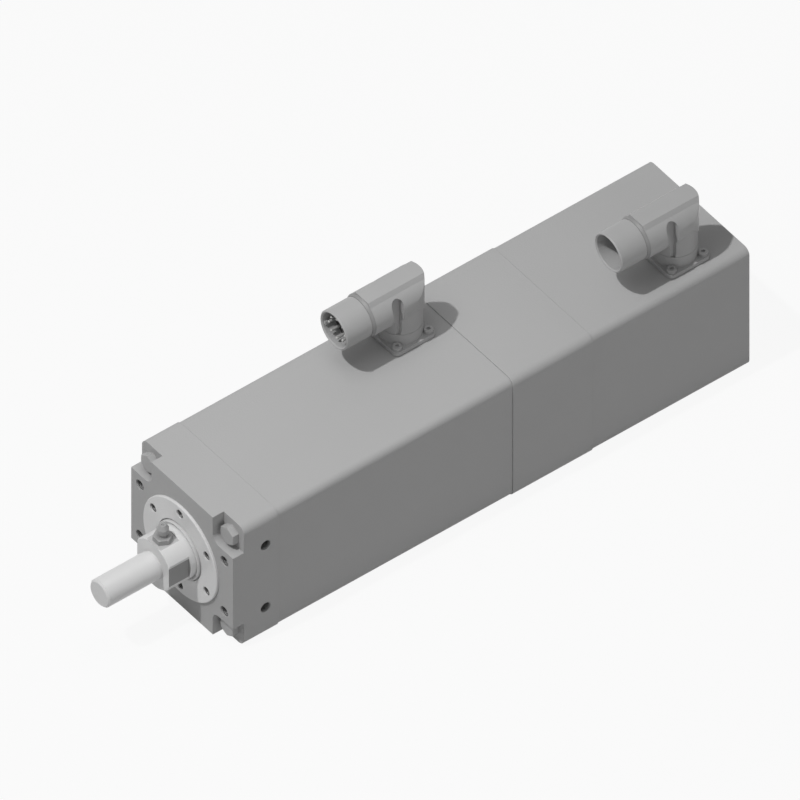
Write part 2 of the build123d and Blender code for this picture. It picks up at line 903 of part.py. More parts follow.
def ball_screw():
    """Ball screw with its tail through the hub, the brake and the resolver."""
    thread = screw_diameter / 2
    tail = screw_tail_diameter / 2
    pilot = guide_ring_bore / 2
    pilot_back = guide_ring_front - guide_ring_length
    return turned(
        (tail_end, 0),
        (tail_end, tail - screw_end_chamfer),
        (tail_end + screw_end_chamfer, tail),
        (web_front, tail),
        (web_front, thread),
        (pilot_back, thread),
        (pilot_back, pilot),
        (guide_ring_front, pilot),
        (screw_front, pilot - screw_end_chamfer),
        (screw_front, 0),
    )


def screw_guide_ring():
    """Plastic ring that steadies the screw's free end in the rod."""
    outer = rod_bore - 2 * running_gap
    inner = guide_ring_bore + 2 * press_gap
    return tube(outer, inner, guide_ring_front - guide_ring_length, guide_ring_front)


def ball_nut():
    """Ball nut with the socket that the rod is screwed into."""
    outer = nut_diameter / 2
    bore = screw_diameter / 2 + running_gap
    socket = rod_diameter / 2 + slip_gap
    front = nut_front + nut_socket_length
    return turned(
        (nut_back, bore),
        (nut_back, outer - nut_chamfer),
        (nut_back + nut_chamfer, outer),
        (front - nut_chamfer, outer),
        (front, outer - nut_chamfer),
        (front, socket),
        (nut_front, socket),
        (nut_front, bore),
    )


def piston_rod():
    """Hollow rod with a solid nose, spanner flats, a flat for the nipple and a stud."""
    radius = rod_diameter / 2
    stud = stud_diameter / 2
    stud_end = rod_nose + stud_length
    bore_end = rod_nose - rod_solid_length
    body = turned(
        (rod_back, rod_bore / 2),
        (rod_back, radius),
        (rod_nose - rod_chamfer, radius),
        (rod_nose, radius - rod_chamfer),
        (rod_nose, stud_relief_diameter / 2),
        (rod_nose + stud_relief_length, stud_relief_diameter / 2),
        (rod_nose + stud_relief_length, stud),
        (stud_end - stud_chamfer, stud),
        (stud_end, stud - stud_chamfer),
        (stud_end, 0),
        (bore_end, 0),
        (bore_end, rod_bore / 2),
    )
    cut_end = rod_nose + overcut
    for side in (1, -1):
        middle = side * (flat_across + radius) / 2
        body -= prism(Pos(middle, 0) * Rectangle(radius, 2 * radius), flat_back, cut_end)
    top = Pos(0, top_flat_height + radius / 2) * Rectangle(2 * radius, radius)
    body -= prism(top, top_flat_back, cut_end)
    seat = Pos(nipple_station, 0, top_flat_height)
    thread_hole = Circle(nipple_thread / 2 + slip_gap)
    body -= seat * extrude(thread_hole, -(nipple_thread_length + screw_hole_runout))
    body -= seat * extrude(Circle(grease_channel / 2), -(top_flat_height + grease_channel / 2))
    return body - disc(grease_channel, bore_end - overcut, nipple_station + grease_channel / 2)


def grease_nipple():
    """Hydraulic-type grease nipple screwed into the rod's top flat."""
    neck = nipple_neck_diameter / 2
    head = nipple_head_diameter / 2
    tip = nipple_tip_diameter / 2
    top = nipple_height
    outline = Polyline(
        (0, 0, 0),
        (neck, 0, 0),
        (neck, 0, nipple_neck_top),
        (head, 0, nipple_head_bottom),
        (head, 0, nipple_head_top),
        (tip, 0, top),
        (nipple_mouth / 2, 0, top),
        (0, 0, top - nipple_mouth),
        close=True,
    )
    body = revolve(make_face(outline), Axis.Z) + hexagon(nipple_across_flats, nipple_hex_height)
    body += extrude(Circle(nipple_thread / 2), -nipple_thread_length)
    return Pos(nipple_station, 0, top_flat_height) * body


def screw_holes():
    """The four clearance holes of a connector's flange or gasket."""
    hole = Circle(flange_screw_clearance / 2)
    return Sketch() + [place * hole for place in corners(flange_screw_pitch)]


def flange_gasket():
    """Flat gasket under a connector's flange."""
    rim = square(flange_width - 2 * gasket_inset, flange_corner)
    return extrude(rim - Circle(wire_bore / 2) - screw_holes(), gasket_thickness)


def connector_flange():
    """Square flange with the collar that the elbow turns in."""
    outline = square(flange_width, flange_corner) - Circle(flange_bore / 2) - screw_holes()
    plate = Pos(0, 0, gasket_thickness) * extrude(outline, flange_thickness)
    rim = plate.faces().sort_by(Axis.Z)[-1].outer_wire()
    plate = chamfer(rim.edges(), edge_break)
    ring = Circle(collar_diameter / 2) - Circle(flange_bore / 2)
    return plate + Pos(0, 0, flange_top) * extrude(ring, collar_top - flange_top)


def flange_screws():
    """The four screws of a connector's flange."""
    screw = cap_screw(
        flange_screw_thread,
        flange_screw_head,
        flange_screw_head_height,
        flange_screw_socket,
        flange_top + flange_screw_engagement,
    )
    return group([Pos(0, 0, flange_top) * place * screw for place in corners(flange_screw_pitch)])


def elbow_slot():
    """Outline of the slot in an elbow's side, open at the bottom and round at the top."""
    radius = elbow_slot_width / 2
    centre = elbow_slot_back + radius
    height = elbow_slot_top - radius
    shaft = Pos(centre, height / 2) * Rectangle(elbow_slot_width, height)
    return shaft + Pos(centre, height) * Circle(radius)


def elbow():
    """Right-angle housing: a neck that turns in the flange and a flat-topped barrel."""
    radius = barrel_diameter / 2
    axis = Pos(0, 0, barrel_axis_height)
    flank_length = barrel_front - elbow_slot_back
    flank_centre = (barrel_front + elbow_slot_back) / 2
    flank = Pos(flank_centre, 0) * Rectangle(flank_length, barrel_diameter)
    plan = make_hull((Circle(elbow_rear_diameter / 2) + flank).edges())
    barrel = turned(
        (-radius, 0),
        (-radius, radius),
        (barrel_front - barrel_chamfer, radius),
        (barrel_front, radius - barrel_chamfer),
        (barrel_front, 0),
    )
    round_body = axis * barrel & extrude(plan, elbow_top)
    flat = elbow_flat_width / 2
    foot = flat + elbow_top / math.tan(math.radians(elbow_side_slope))
    sides = Polyline((-flat, elbow_top), (flat, elbow_top), (foot, 0), (-foot, 0), close=True)
    rim_back = barrel_front - elbow_rim
    rim = prism(Circle(radius + overcut), rim_back, barrel_front + overcut)
    body = round_body & prism(make_face(sides), -radius - overcut, rim_back)
    body += round_body & axis * rim
    neck = extrude(Circle(neck_diameter / 2), barrel_axis_height - elbow_bottom)
    body += Pos(0, 0, elbow_bottom) * neck
    for side in (1, -1):
        wall = Plane.XZ.offset(-side * elbow_web / 2) * elbow_slot()
        body -= extrude(wall, -side * radius)
    bottom = gasket_thickness + neck_spigot_gap
    spigot = extrude(Circle(flange_bore / 2 - slip_gap), elbow_bottom - bottom)
    groove_floor = flange_bore / 2 - 2 * slip_gap - neck_seal_thickness
    groove = extrude(Circle(flange_bore / 2) - Circle(groove_floor), neck_groove_width)
    body += Pos(0, 0, bottom) * spigot
    body -= Pos(0, 0, neck_seal_height - neck_groove_width / 2) * groove
    body -= extrude(Circle(elbow_bore / 2), barrel_axis_height)
    body -= axis * Sphere(elbow_bore / 2)
    body -= axis * disc(barrel_bore, 0, barrel_front)
    seat_back = barrel_front - nose_spigot_length - nose_end_gap
    seat = disc(nose_spigot_diameter + 2 * slip_gap, seat_back, barrel_front + overcut)
    return body - axis * seat


def nose(insert_front, key_turn):
    """Round nose of a connector: a spigot behind, and in front the socket with its key."""
    outer = nose_diameter / 2
    bore = nose_bore / 2
    rear_bore = nose_rear_bore / 2
    spigot = nose_spigot_diameter / 2
    floor = insert_front - insert_thickness
    body = turned(
        (barrel_front - nose_spigot_length, rear_bore),
        (barrel_front - nose_spigot_length, spigot),
        (barrel_front, spigot),
        (barrel_front, outer),
        (nose_front - nose_chamfer, outer),
        (nose_front, outer - nose_chamfer),
        (nose_front, bore + nose_chamfer),
        (nose_front - nose_chamfer, bore),
        (floor, bore),
        (floor, rear_bore),
    )
    key = Pos(bore - key_height / 2, 0) * Rectangle(key_height, key_width)
    key = Rotation(0, 0, key_turn) * (key & Circle(bore))
    body += prism(key, insert_front + slip_gap, nose_front - key_setback)
    return Pos(0, 0, barrel_axis_height) * body


def insert(insert_front, contact, circle, count):
    """Insulating disc that the contacts are held in."""
    back = insert_front - insert_thickness
    body = disc(nose_bore - 2 * slip_gap, back, insert_front)
    for place in ring_of(count, circle, 90):
        hole = place * Circle(contact / 2 + press_gap)
        body -= prism(hole, back - overcut, insert_front + overcut)
    return Pos(0, 0, barrel_axis_height) * body


def power_pins():
    """Contact pins that stand out of the power insert."""
    back = power_insert_front - insert_thickness - contact_tail
    front = nose_front - power_pin_setback
    pin = extrude(Circle(power_pin_diameter / 2), front - back)
    pin = chamfer(pin.edges().group_by(Axis.Z)[-1], power_pin_taper)
    places = ring_of(power_pin_count, power_pin_circle, 90)
    return Pos(0, 0, barrel_axis_height) * group([across(back) * place * pin for place in places])


def signal_contacts():
    """Contact sleeves set flush in the signal insert."""
    front = signal_insert_front
    back = front - insert_thickness - contact_tail
    outline = Circle(signal_contact_diameter / 2) - Circle(signal_contact_bore / 2)
    places = ring_of(signal_contact_count, signal_contact_circle, 90)
    ring = [prism(place * outline, back, front) for place in places]
    return Pos(0, 0, barrel_axis_height) * group(ring)


def neck_seal():
    """O-ring in the groove of the elbow's spigot."""
    centre = flange_bore / 2 - slip_gap - neck_seal_thickness / 2
    return Pos(0, 0, neck_seal_height) * Torus(centre, neck_seal_thickness / 2)


os.makedirs("parts", exist_ok=True)

front_outer_ring, front_inner_ring = bearing_rings(
    front_bearing_outer,
    front_bearing_inner,
    front_bearing_ball,
    front_bearing_width,
    front_bearing_front,
)
thrust_outer_rings, thrust_inner_rings = bearing_rings(
    thrust_outer, thrust_inner, thrust_ball, thrust_width, thrust_front, thrust_count
)
thrust_balls = [
    ball_ring(
        thrust_ball,
        thrust_ball_count,
        (thrust_outer + thrust_inner) / 2,
        thrust_front - (number + 0.5) * thrust_width,
    )
    for number in range(thrust_count)
]

nodes = {
    "front_block": front_block(),
    "guide_plate": guide_plate(),
    "guide_bush": tube(
        bush_diameter, rod_diameter + 2 * running_gap, bush_back, bush_front
    ),
    "guide_ring_nut": guide_ring_nut(),
    "rod_wiper": rod_wiper(),
    "rod_seal": rod_seal(),
    "tie_bolts": tie_bolts(),
    "motor_housing": motor_housing(),
    "housing_o_rings": housing_o_rings(),
    "stator_core": stator_core(),
    "stator_windings": stator_windings(),
    "front_bearing_outer_ring": front_outer_ring,
    "front_bearing_balls": ball_ring(
        front_bearing_ball,
        front_ball_count,
        (front_bearing_outer + front_bearing_inner) / 2,
        front_bearing_front - front_bearing_width / 2,
    ),
    "mid_block": mid_block(),
    "thrust_bearing_outer_rings": thrust_outer_rings,
    "thrust_bearing_balls": group(thrust_balls),
    "bearing_cover": bearing_cover(),
    "bearing_cover_screws": bearing_cover_screws(),
    "rear_cover": rear_cover(),
    "rear_cover_screws": rear_cover_screws(),
    "brake_plate": brake_plate(),
    "brake_spacers": brake_spacers(),
    "brake_coil_body": brake_coil_body(),
    "brake_coil": brake_coil(),
    "brake_screws": brake_screws(),
    "resolver_stator": resolver_stator(),
    "rotor_sleeve": rotor_sleeve(),
    "rotor_magnets": rotor_magnets(),
    "front_bearing_inner_ring": front_inner_ring,
    "thrust_bearing_inner_rings": thrust_inner_rings,
    "bearing_lock_nut": bearing_lock_nut(),
    "ball_screw": ball_screw(),
    "screw_guide_ring": screw_guide_ring(),
    "brake_hub": brake_hub(),
    "brake_friction_disc": brake_friction_disc(),
    "resolver_rotor": resolver_rotor(),
    "brake_armature": brake_armature(),
    "piston_rod": piston_rod(),
    "ball_nut": ball_nut(),
    "grease_nipple": grease_nipple(),
}

connectors = {
    "power": (
        Pos(-power_station, -connector_offset, half_frame),
        power_insert_front,
        power_key_turn,
        insert(power_insert_front, power_pin_diameter, power_pin_circle, power_pin_count),
        ("pins", power_pins()),
    ),
    "signal": (
        Pos(-signal_station, connector_offset, half_frame),
        signal_insert_front,
        signal_key_turn,
        insert(
            signal_insert_front,
            signal_contact_diameter,
            signal_contact_circle,
            signal_contact_count,
        ),
        ("contacts", signal_contacts()),
    ),
}
for name, (place, insert_front, key_turn, insulator, (contact_name, contacts)) in connectors.items():
    nodes[f"{name}_flange_gasket"] = place * flange_gasket()
    nodes[f"{name}_flange"] = place * connector_flange()
    nodes[f"{name}_flange_screws"] = place * flange_screws()
    nodes[f"{name}_elbow"] = place * elbow()
    nodes[f"{name}_neck_seal"] = place * neck_seal()
    nodes[f"{name}_nose"] = place * nose(insert_front, key_turn)
    nodes[f"{name}_insert"] = place * insulator
    nodes[f"{name}_{contact_name}"] = place * contacts

for node, shape in nodes.items():
    export_step(shape, f"parts/{node}.step")
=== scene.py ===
"""Finishes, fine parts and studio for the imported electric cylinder, in metres."""

import json
import math

import bmesh
import bpy
from bpy.props import FloatProperty, FloatVectorProperty, IntProperty, PointerProperty
from mathutils import Matrix, Vector

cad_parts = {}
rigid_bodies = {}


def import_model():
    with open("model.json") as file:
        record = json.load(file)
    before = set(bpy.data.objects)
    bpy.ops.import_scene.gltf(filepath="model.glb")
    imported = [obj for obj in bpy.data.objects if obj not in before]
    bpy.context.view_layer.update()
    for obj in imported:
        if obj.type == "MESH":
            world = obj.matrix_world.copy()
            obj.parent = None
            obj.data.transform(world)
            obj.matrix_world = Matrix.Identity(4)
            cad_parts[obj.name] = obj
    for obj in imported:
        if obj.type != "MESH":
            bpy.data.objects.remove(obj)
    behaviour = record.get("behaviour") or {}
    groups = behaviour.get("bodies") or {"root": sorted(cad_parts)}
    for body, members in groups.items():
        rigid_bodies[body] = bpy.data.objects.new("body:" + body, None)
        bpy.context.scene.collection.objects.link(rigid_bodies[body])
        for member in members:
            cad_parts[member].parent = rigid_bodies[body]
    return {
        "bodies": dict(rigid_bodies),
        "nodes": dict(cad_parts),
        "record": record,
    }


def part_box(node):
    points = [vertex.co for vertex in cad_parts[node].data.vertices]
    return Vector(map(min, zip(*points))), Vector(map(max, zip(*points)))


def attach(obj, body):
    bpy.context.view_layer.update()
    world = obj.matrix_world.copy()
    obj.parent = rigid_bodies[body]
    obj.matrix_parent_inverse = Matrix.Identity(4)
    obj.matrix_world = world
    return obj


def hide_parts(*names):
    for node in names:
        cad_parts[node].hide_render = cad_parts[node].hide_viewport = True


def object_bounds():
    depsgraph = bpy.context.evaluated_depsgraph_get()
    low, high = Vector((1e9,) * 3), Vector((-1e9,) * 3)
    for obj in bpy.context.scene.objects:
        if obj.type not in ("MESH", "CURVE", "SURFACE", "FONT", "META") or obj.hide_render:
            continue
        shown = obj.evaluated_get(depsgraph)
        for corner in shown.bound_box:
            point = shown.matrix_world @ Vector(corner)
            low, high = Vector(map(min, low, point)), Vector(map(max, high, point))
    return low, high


bl_info = {
    "name": "Electric cylinder",
    "version": (1, 0, 0),
    "blender": (4, 5, 0),
    "location": "View3D > Sidebar > Cylinder",
    "description": "Finishes, threads, knurls and studio for an electric cylinder",
    "category": "Object",
}

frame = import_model()
cad_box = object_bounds()

# Fixed facts of the view: the camera's three axes, and the picture's width on the object
CAMERA_RIGHT = Vector((-0.7875, 0.6163, 0.0))
CAMERA_BACK = Vector((0.4358, 0.5568, 0.7071))
CAMERA_SHIFT = (0.10935, 0.0744)
PICTURE_WIDTH = 0.4012
CAMERA_DISTANCE = 1.5

# The studio: the floor's reach, the way from the part to each light, and the lights' widths
FLOOR_REACH = 4.0
HIGH_SUN = (0.452, -0.06, 0.89)
HIGH_SUN_WIDTH = math.radians(1.5)
SIDE_SUN = (0.15, 0.98, 0.1)
SIDE_SUN_WIDTH = math.radians(40.0)
OVERHEAD = (0.0, 0.0, 1.0)
LAMP_PLACE = (-0.02, 0.0, 0.4)
LAMP_WIDTH = 0.25

# Noise and mesh work
NOISE_DETAIL = 2.0
QUARTER_TURN = math.pi / 2
WELD = 0.000002  # corners of a mesh that are nearer than this are one corner
COLLAR_STEPS = 96  # straight runs round a connector's ring
NECK_STEPS = 120  # straight runs round the post that saves an elbow's neck
BARREL_STEPS = 48  # straight runs down one side of an elbow's barrel
TOOL_REACH = 1.4  # reach of the tools that cut an elbow, in radii of its barrel


class Socket:
    """An output of a node that takes part in Python arithmetic."""

    def __init__(self, graph, link):
        self.graph = graph
        self.link = link

    def maths(self, operation, *values):
        return self.graph.node("ShaderNodeMath", {"operation": operation}, values)

    def __add__(self, other):
        return self.maths("ADD", self, other)

    def __sub__(self, other):
        return self.maths("SUBTRACT", self, other)

    def __rsub__(self, other):
        return self.maths("SUBTRACT", other, self)

    def __mul__(self, other):
        return self.maths("MULTIPLY", self, other)

    def __gt__(self, other):
        return self.maths("GREATER_THAN", self, other)

    def __lt__(self, other):
        return self.maths("LESS_THAN", self, other)

    def __abs__(self):
        return self.maths("ABSOLUTE", self)

    __radd__ = __add__
    __rmul__ = __mul__


class Graph:
    """A node tree that is built from Python expressions."""

    def __init__(self, tree):
        self.tree = tree
        tree.nodes.clear()

    def node(self, kind, settings=None, values=(), out=0):
        """Adds a node: its settings first, then the values or links of its sockets."""
        made = self.tree.nodes.new(kind)
        for name, value in (settings or {}).items():
            setattr(made, name, value)
        pairs = values.items() if isinstance(values, dict) else enumerate(values)
        for key, value in pairs:
            if isinstance(value, Socket):
                self.tree.links.new(value.link, made.inputs[key])
            else:
                made.inputs[key].default_value = value
        return Socket(self, made.outputs[out]) if made.outputs else made


class Finish(Graph):
    """A material made of noise and lines in the object's own coordinates."""

    def __init__(self, name):
        self.material = bpy.data.materials.new(name)
        self.material.use_nodes = True
        super().__init__(self.material.node_tree)
        self.place = self.node("ShaderNodeTexCoord", out="Object")

    def noise(self, scale, detail=NOISE_DETAIL):
        """Cloudy noise from 0 to 1, with about this many clouds a metre."""
        values = {"Vector": self.place, "Scale": scale, "Detail": detail}
        return self.node("ShaderNodeTexNoise", values=values)

    def lines(self, distance, scale):
        """Noise that changes along one distance only, as tool marks do."""
        values = {"W": distance, "Scale": scale, "Detail": NOISE_DETAIL}
        return self.node("ShaderNodeTexNoise", {"noise_dimensions": "1D"}, values)

    def axes(self):
        """The place's three coordinates."""
        split = self.node("ShaderNodeSeparateXYZ", values=(self.place,))
        outputs = split.link.node.outputs
        return [Socket(self, output) for output in outputs]

    def radius(self):
        """The distance from the rod's axis."""
        values = (self.place, (0.0, 1.0, 1.0))
        flat = self.node("ShaderNodeVectorMath", {"operation": "MULTIPLY"}, values)
        return self.node("ShaderNodeVectorMath", {"operation": "LENGTH"}, (flat,), out="Value")

    def mix(self, factor, first, second):
        """One colour going over to another."""
        # The node's sockets share their names, so its colours go by number: 6 and 7 in, 2 out
        values = {0: factor, 6: rgba(first), 7: rgba(second)}
        return self.node("ShaderNodeMix", {"data_type": "RGBA"}, values, out=2)

    def tone(self, factor, colour, low, high):
        """A colour that goes between two shares of itself."""
        return self.mix(factor, shade(colour, low), shade(colour, high))

    def grain(self, height, depth, edge):
        """A normal with fine relief and softly broken edges."""
        rounded = self.node("ShaderNodeBevel", {"samples": 4}, {"Radius": edge})
        values = {"Height": height, "Distance": depth, "Strength": 1.0, "Normal": rounded}
        return self.node("ShaderNodeBump", values=values)

    def satin(self, tone, relief, roughness, swing, depth, edge, metallic=0.0, specular=0.5):
        """Ends the material in a shader whose gloss and relief follow one noise."""
        return self.close(
            {
                "Base Color": tone,
                "Metallic": metallic,
                "Roughness": roughness + (relief - 0.5) * swing,
                "Normal": self.grain(relief, depth, edge),
                "Specular IOR Level": specular,
            }
        )

    def close(self, values):
        """Ends the material in one shader."""
        shader = self.node("ShaderNodeBsdfPrincipled", values=values)
        self.node("ShaderNodeOutputMaterial", values=(shader,))
        return self.material


def rgba(colour):
    """A colour property or a socket, ready for a colour input."""
    return colour if isinstance(colour, Socket) else (*colour[:3], 1.0)


def shade(colour, share):
    """The same colour, lighter or darker."""
    return [min(1.0, channel * share) for channel in colour[:3]]


def coated(name, colour, roughness=0.55):
    """Powder coat: a fine orange peel and hardly any change of tone."""
    finish = Finish(name)
    peel = finish.noise(scale=1100.0)
    tone = finish.tone(finish.noise(scale=14.0), colour, low=0.97, high=1.03)
    return finish.satin(tone, peel, roughness, swing=0.16, depth=0.00006, edge=0.0004, specular=0.3)


def plated(name, colour, roughness=0.42, metallic=0.0, edge=0.0003):
    """Satin plating over a blasted casting."""
    finish = Finish(name)
    blast = finish.noise(scale=2600.0)
    tone = finish.tone(finish.noise(scale=60.0), colour, low=0.95, high=1.05)
    return finish.satin(
        tone, blast, roughness, swing=0.2, depth=0.00003, edge=edge, metallic=metallic
    )


def turned(name, colour, roughness=0.38, metallic=0.0):
    """A face turned on a lathe, with rings about the rod's axis."""
    finish = Finish(name)
    rings = finish.lines(finish.radius(), scale=1500.0)
    tone = finish.tone(rings, colour, low=0.96, high=1.04)
    return finish.satin(
        tone, rings, roughness, swing=0.2, depth=0.00002, edge=0.0003, metallic=metallic
    )


def ground(name, colour, flat_shade_colour, flats):
    """A ground rod, bright on its round. Its side flats take a darker colour that is partly
    uncoated steel and partly painted shade, and its top flat takes half of that darker colour, so
    the flat that faces up is painted lighter.
    """
    finish = Finish(name)
    along, across, up = finish.axes()
    marks = finish.lines(along, scale=2200.0)
    mill = finish.lines(along + up, scale=900.0)
    side = abs(across) > flats.side_reach
    beside = 1 - (finish.radius() > flats.side_reach + flats.side_band)
    top = (up > flats.top_reach) * (along > flats.top_start)
    # Painted shade: the flats that face sideways get all of the darker colour, the top flat only
    # half of it
    milled_and_shaded = side * beside + top * 0.5
    worked = finish.tone(mill, flat_shade_colour, low=0.93, high=1.07)
    bright = finish.tone(marks, colour, low=0.97, high=1.03)
    return finish.close(
        {
            "Base Color": finish.mix(milled_and_shaded, bright, worked),
            "Roughness": 0.3 + marks * 0.1 + milled_and_shaded * 0.15,
            "Normal": finish.grain(marks + mill * milled_and_shaded, depth=0.000012, edge=0.0001),
        }
    )


def tracked(name, colour, lead, core):
    """A rolled ball screw: a right-hand ball groove wound round the part beyond its core, with
    painted shade down in the groove and a painted highlight on the crests between its turns.
    """
    finish = Finish(name)
    along, across, up = finish.axes()
    turn = up.maths("ARCTAN2", up, across) * (1.0 / math.tau)
    wave = along.maths("SINE", (along * (1.0 / lead) - turn) * math.tau)
    track_and_shade = (wave * 0.5 + 0.5) * (finish.radius() > core)
    scratches = finish.lines(along, scale=2600.0)
    return finish.close(
        {
            # Painted shade and highlight: 0.45 of the colour down in the groove, 1.1 of it on the
            # crests and on the part inside the core radius
            "Base Color": finish.tone(track_and_shade, colour, low=1.1, high=0.45),
            "Metallic": 0.9,
            "Roughness": 0.22 + scratches * 0.15,
            "Normal": finish.grain(scratches * 0.02 - track_and_shade, depth=0.0006, edge=0.0001),
        }
    )


def moulded(name, colour, roughness=0.6):
    """Spark-eroded moulded plastic or rubber."""
    finish = Finish(name)
    spark = finish.noise(scale=3800.0)
    tone = finish.tone(spark, colour, low=0.9, high=1.1)
    return finish.satin(tone, spark, roughness, swing=0.15, depth=0.00003, edge=0.0002)


def wound(name, colour, pitch):
    """Varnished wire laid side by side, with painted shade in the hollows between wires and a
    painted highlight on their crests.
    """
    finish = Finish(name)
    values = {"Vector": finish.place, "Scale": 1.0 / pitch, "Distortion": 1.5}
    wires = finish.node("ShaderNodeTexWave", {"bands_direction": "DIAGONAL"}, values)
    height = Socket(finish, wires.link.node.outputs["Fac"])
    # Painted shade and highlight: the relief's height sets the colour, 0.55 of it in the hollows
    # between wires and 1.15 of it on the crests
    tone = finish.tone(height, colour, low=0.55, high=1.15)
    return finish.close(
        {
            "Base Color": tone,
            "Metallic": 0.6,
            "Roughness": 0.3 + finish.noise(scale=400.0) * 0.2,
            "Normal": finish.grain(height, depth=0.0002, edge=0.0002),
        }
    )


def laminated(name, colour, sheet):
    """A stack of punched sheets across the rod's axis."""
    finish = Finish(name)
    stack = finish.lines(finish.axes()[0], scale=1.0 / sheet)
    tone = finish.tone(stack, colour, low=0.7, high=1.2)
    return finish.close(
        {
            "Base Color": tone,
            "Metallic": 0.7,
            "Roughness": 0.4 + stack * 0.2,
            "Normal": finish.grain(stack, depth=0.00005, edge=0.0001),
        }
    )


def colour_property(name, description, default):
    """A colour that a user can change."""
    return FloatVectorProperty(
        name=name, description=description, default=default, subtype="COLOR", min=0.0, max=1.0
    )


class CylinderColours(bpy.types.PropertyGroup):
    """Colours of the cylinder's finishes."""

    housing: colour_property("Housing", "Powder coat of the housing sections", (0.42, 0.42, 0.42))
    plate: colour_property("Guide plate", "Turned steel of the guide plate", (0.71, 0.71, 0.71))
    rod: colour_property("Rod", "Ground and chromed steel of the rod", (0.69, 0.69, 0.69))
    # Colour of the rod's flats: uncoated steel, darkened further as painted shade
    milled_and_shaded: colour_property("Milled flats", "Bare steel of the rod's flats", (0.29, 0.29, 0.29))
    wiper: colour_property("Wiper", "Polymer of the rod wiper", (0.6, 0.6, 0.6))
    bolts: colour_property("Bolts", "Plated steel of bolts and screws", (0.4, 0.4, 0.4))
    nipple: colour_property("Nipple", "Zinc plate of the grease nipple", (0.33, 0.33, 0.33))
    # Colour of the cut threads: uncoated metal, darkened as painted shade inside the holes
    thread: colour_property("Threads", "Bare metal of the cut threads", (0.16, 0.16, 0.16))
    connector: colour_property("Connector", "Satin plating of the connectors", (0.38, 0.38, 0.38))
    insulator: colour_property("Insulator", "Plastic that holds the contacts", (0.05, 0.05, 0.05))
    # Colour of the connectors' rings: plated like the connector, darkened as painted shade
    collar: colour_property("Collar", "Plating of the connectors' rings", (0.24, 0.24, 0.24))
    contact: colour_property("Contact", "Plated contact metal", (0.5, 0.5, 0.49))
    steel: colour_property("Inner steel", "Machined steel inside", (0.5, 0.5, 0.51))
    bronze: colour_property("Bronze", "Sintered guide bush", (0.5, 0.3, 0.12))
    copper: colour_property("Copper", "Varnished winding wire", (0.5, 0.2, 0.08))
    rubber: colour_property("Rubber", "Seals and gaskets", (0.03, 0.03, 0.03))
    magnet: colour_property("Magnet", "Nickel on the magnets", (0.45, 0.45, 0.47))
    lamination: colour_property("Lamination", "Punched sheet steel", (0.25, 0.25, 0.27))
    lining: colour_property("Brake lining", "Friction lining", (0.12, 0.1, 0.09))


def length_property(name, description, default):
    """A length in metres that a user can change."""
    return FloatProperty(
        name=name,
        description=description,
        default=default,
        precision=5,
        subtype="DISTANCE",
        unit="LENGTH",
    )


class CylinderDetails(bpy.types.PropertyGroup):
    """Sizes of the fine parts."""

    ridge: length_property("Thread ridge", "Reach of a thread's ridge from its middle", 0.00034)
    pitch: length_property("Coarse pitch", "Pitch of the threads in the front block", 0.001)
    fine_pitch: length_property("Fine pitch", "Pitch of the threads in the plate", 0.0008)
    turn_steps: IntProperty(
        name="Steps a turn", description="Straight runs in one turn of a thread", default=24
    )
    rib: length_property("Knurl rib", "Reach of one rib of a knurled screw head", 0.00016)
    flange_head: length_property("Flange screw head", "Radius of a flange screw's head", 0.0025)
    flange_rib: length_property("Flange rib", "Length of a flange screw's ribs", 0.0015)
    flange_sink: length_property("Flange sink", "Middle of those ribs below the head's top", 0.0011)
    flange_ribs: IntProperty(
        name="Flange ribs", description="Ribs round a flange screw's head", default=30
    )
    rear_head: length_property("Rear screw head", "Radius of a rear screw's head", 0.00425)
    rear_rib: length_property("Rear rib", "Length of a rear screw's ribs", 0.0039)
    rear_sink: length_property("Rear sink", "Middle of those ribs from the head's end", 0.0027)
    rear_ribs: IntProperty(
        name="Rear ribs", description="Ribs round a rear screw's head", default=40
    )
    inset: length_property("Thread inset", "First turn of a thread behind its mouth", 0.0006)
    rim: length_property("Contact rim", "Thickness of the moulded rim round a contact", 0.00028)
    power_contacts: IntProperty(
        name="Power contacts", description="Contacts of the power connector", default=8
    )
    signal_contacts: IntProperty(
        name="Signal contacts", description="Contacts of the signal connector", default=9
    )
    power_contact: length_property("Power contact", "Radius of a power contact", 0.0008)
    signal_contact: length_property("Signal contact", "Radius of a signal contact", 0.0009)
    side_reach: length_property("Side flats", "Where the rod's side flats start", 0.0128)
    side_band: length_property("Side band", "Radius beyond that where the flats end", 0.0015)
    top_reach: length_property("Top flat", "Where the rod's top flat starts", 0.01385)
    top_start: length_property("Top flat's end", "Rear end of the rod's top flat", 0.0062)
    check_ball: length_property("Check ball", "Radius of the ball in the grease nipple", 0.0006)
    lead: length_property("Lead", "Travel of the rod in one turn of the screw", 0.005)
    screw_core: length_property("Screw core", "Radius beyond which the screw is tracked", 0.0095)
    crease: FloatProperty(
        name="Crease",
        description="Angle above which an edge of a casting stays sharp",
        default=math.radians(17.0),
        subtype="ANGLE",
    )


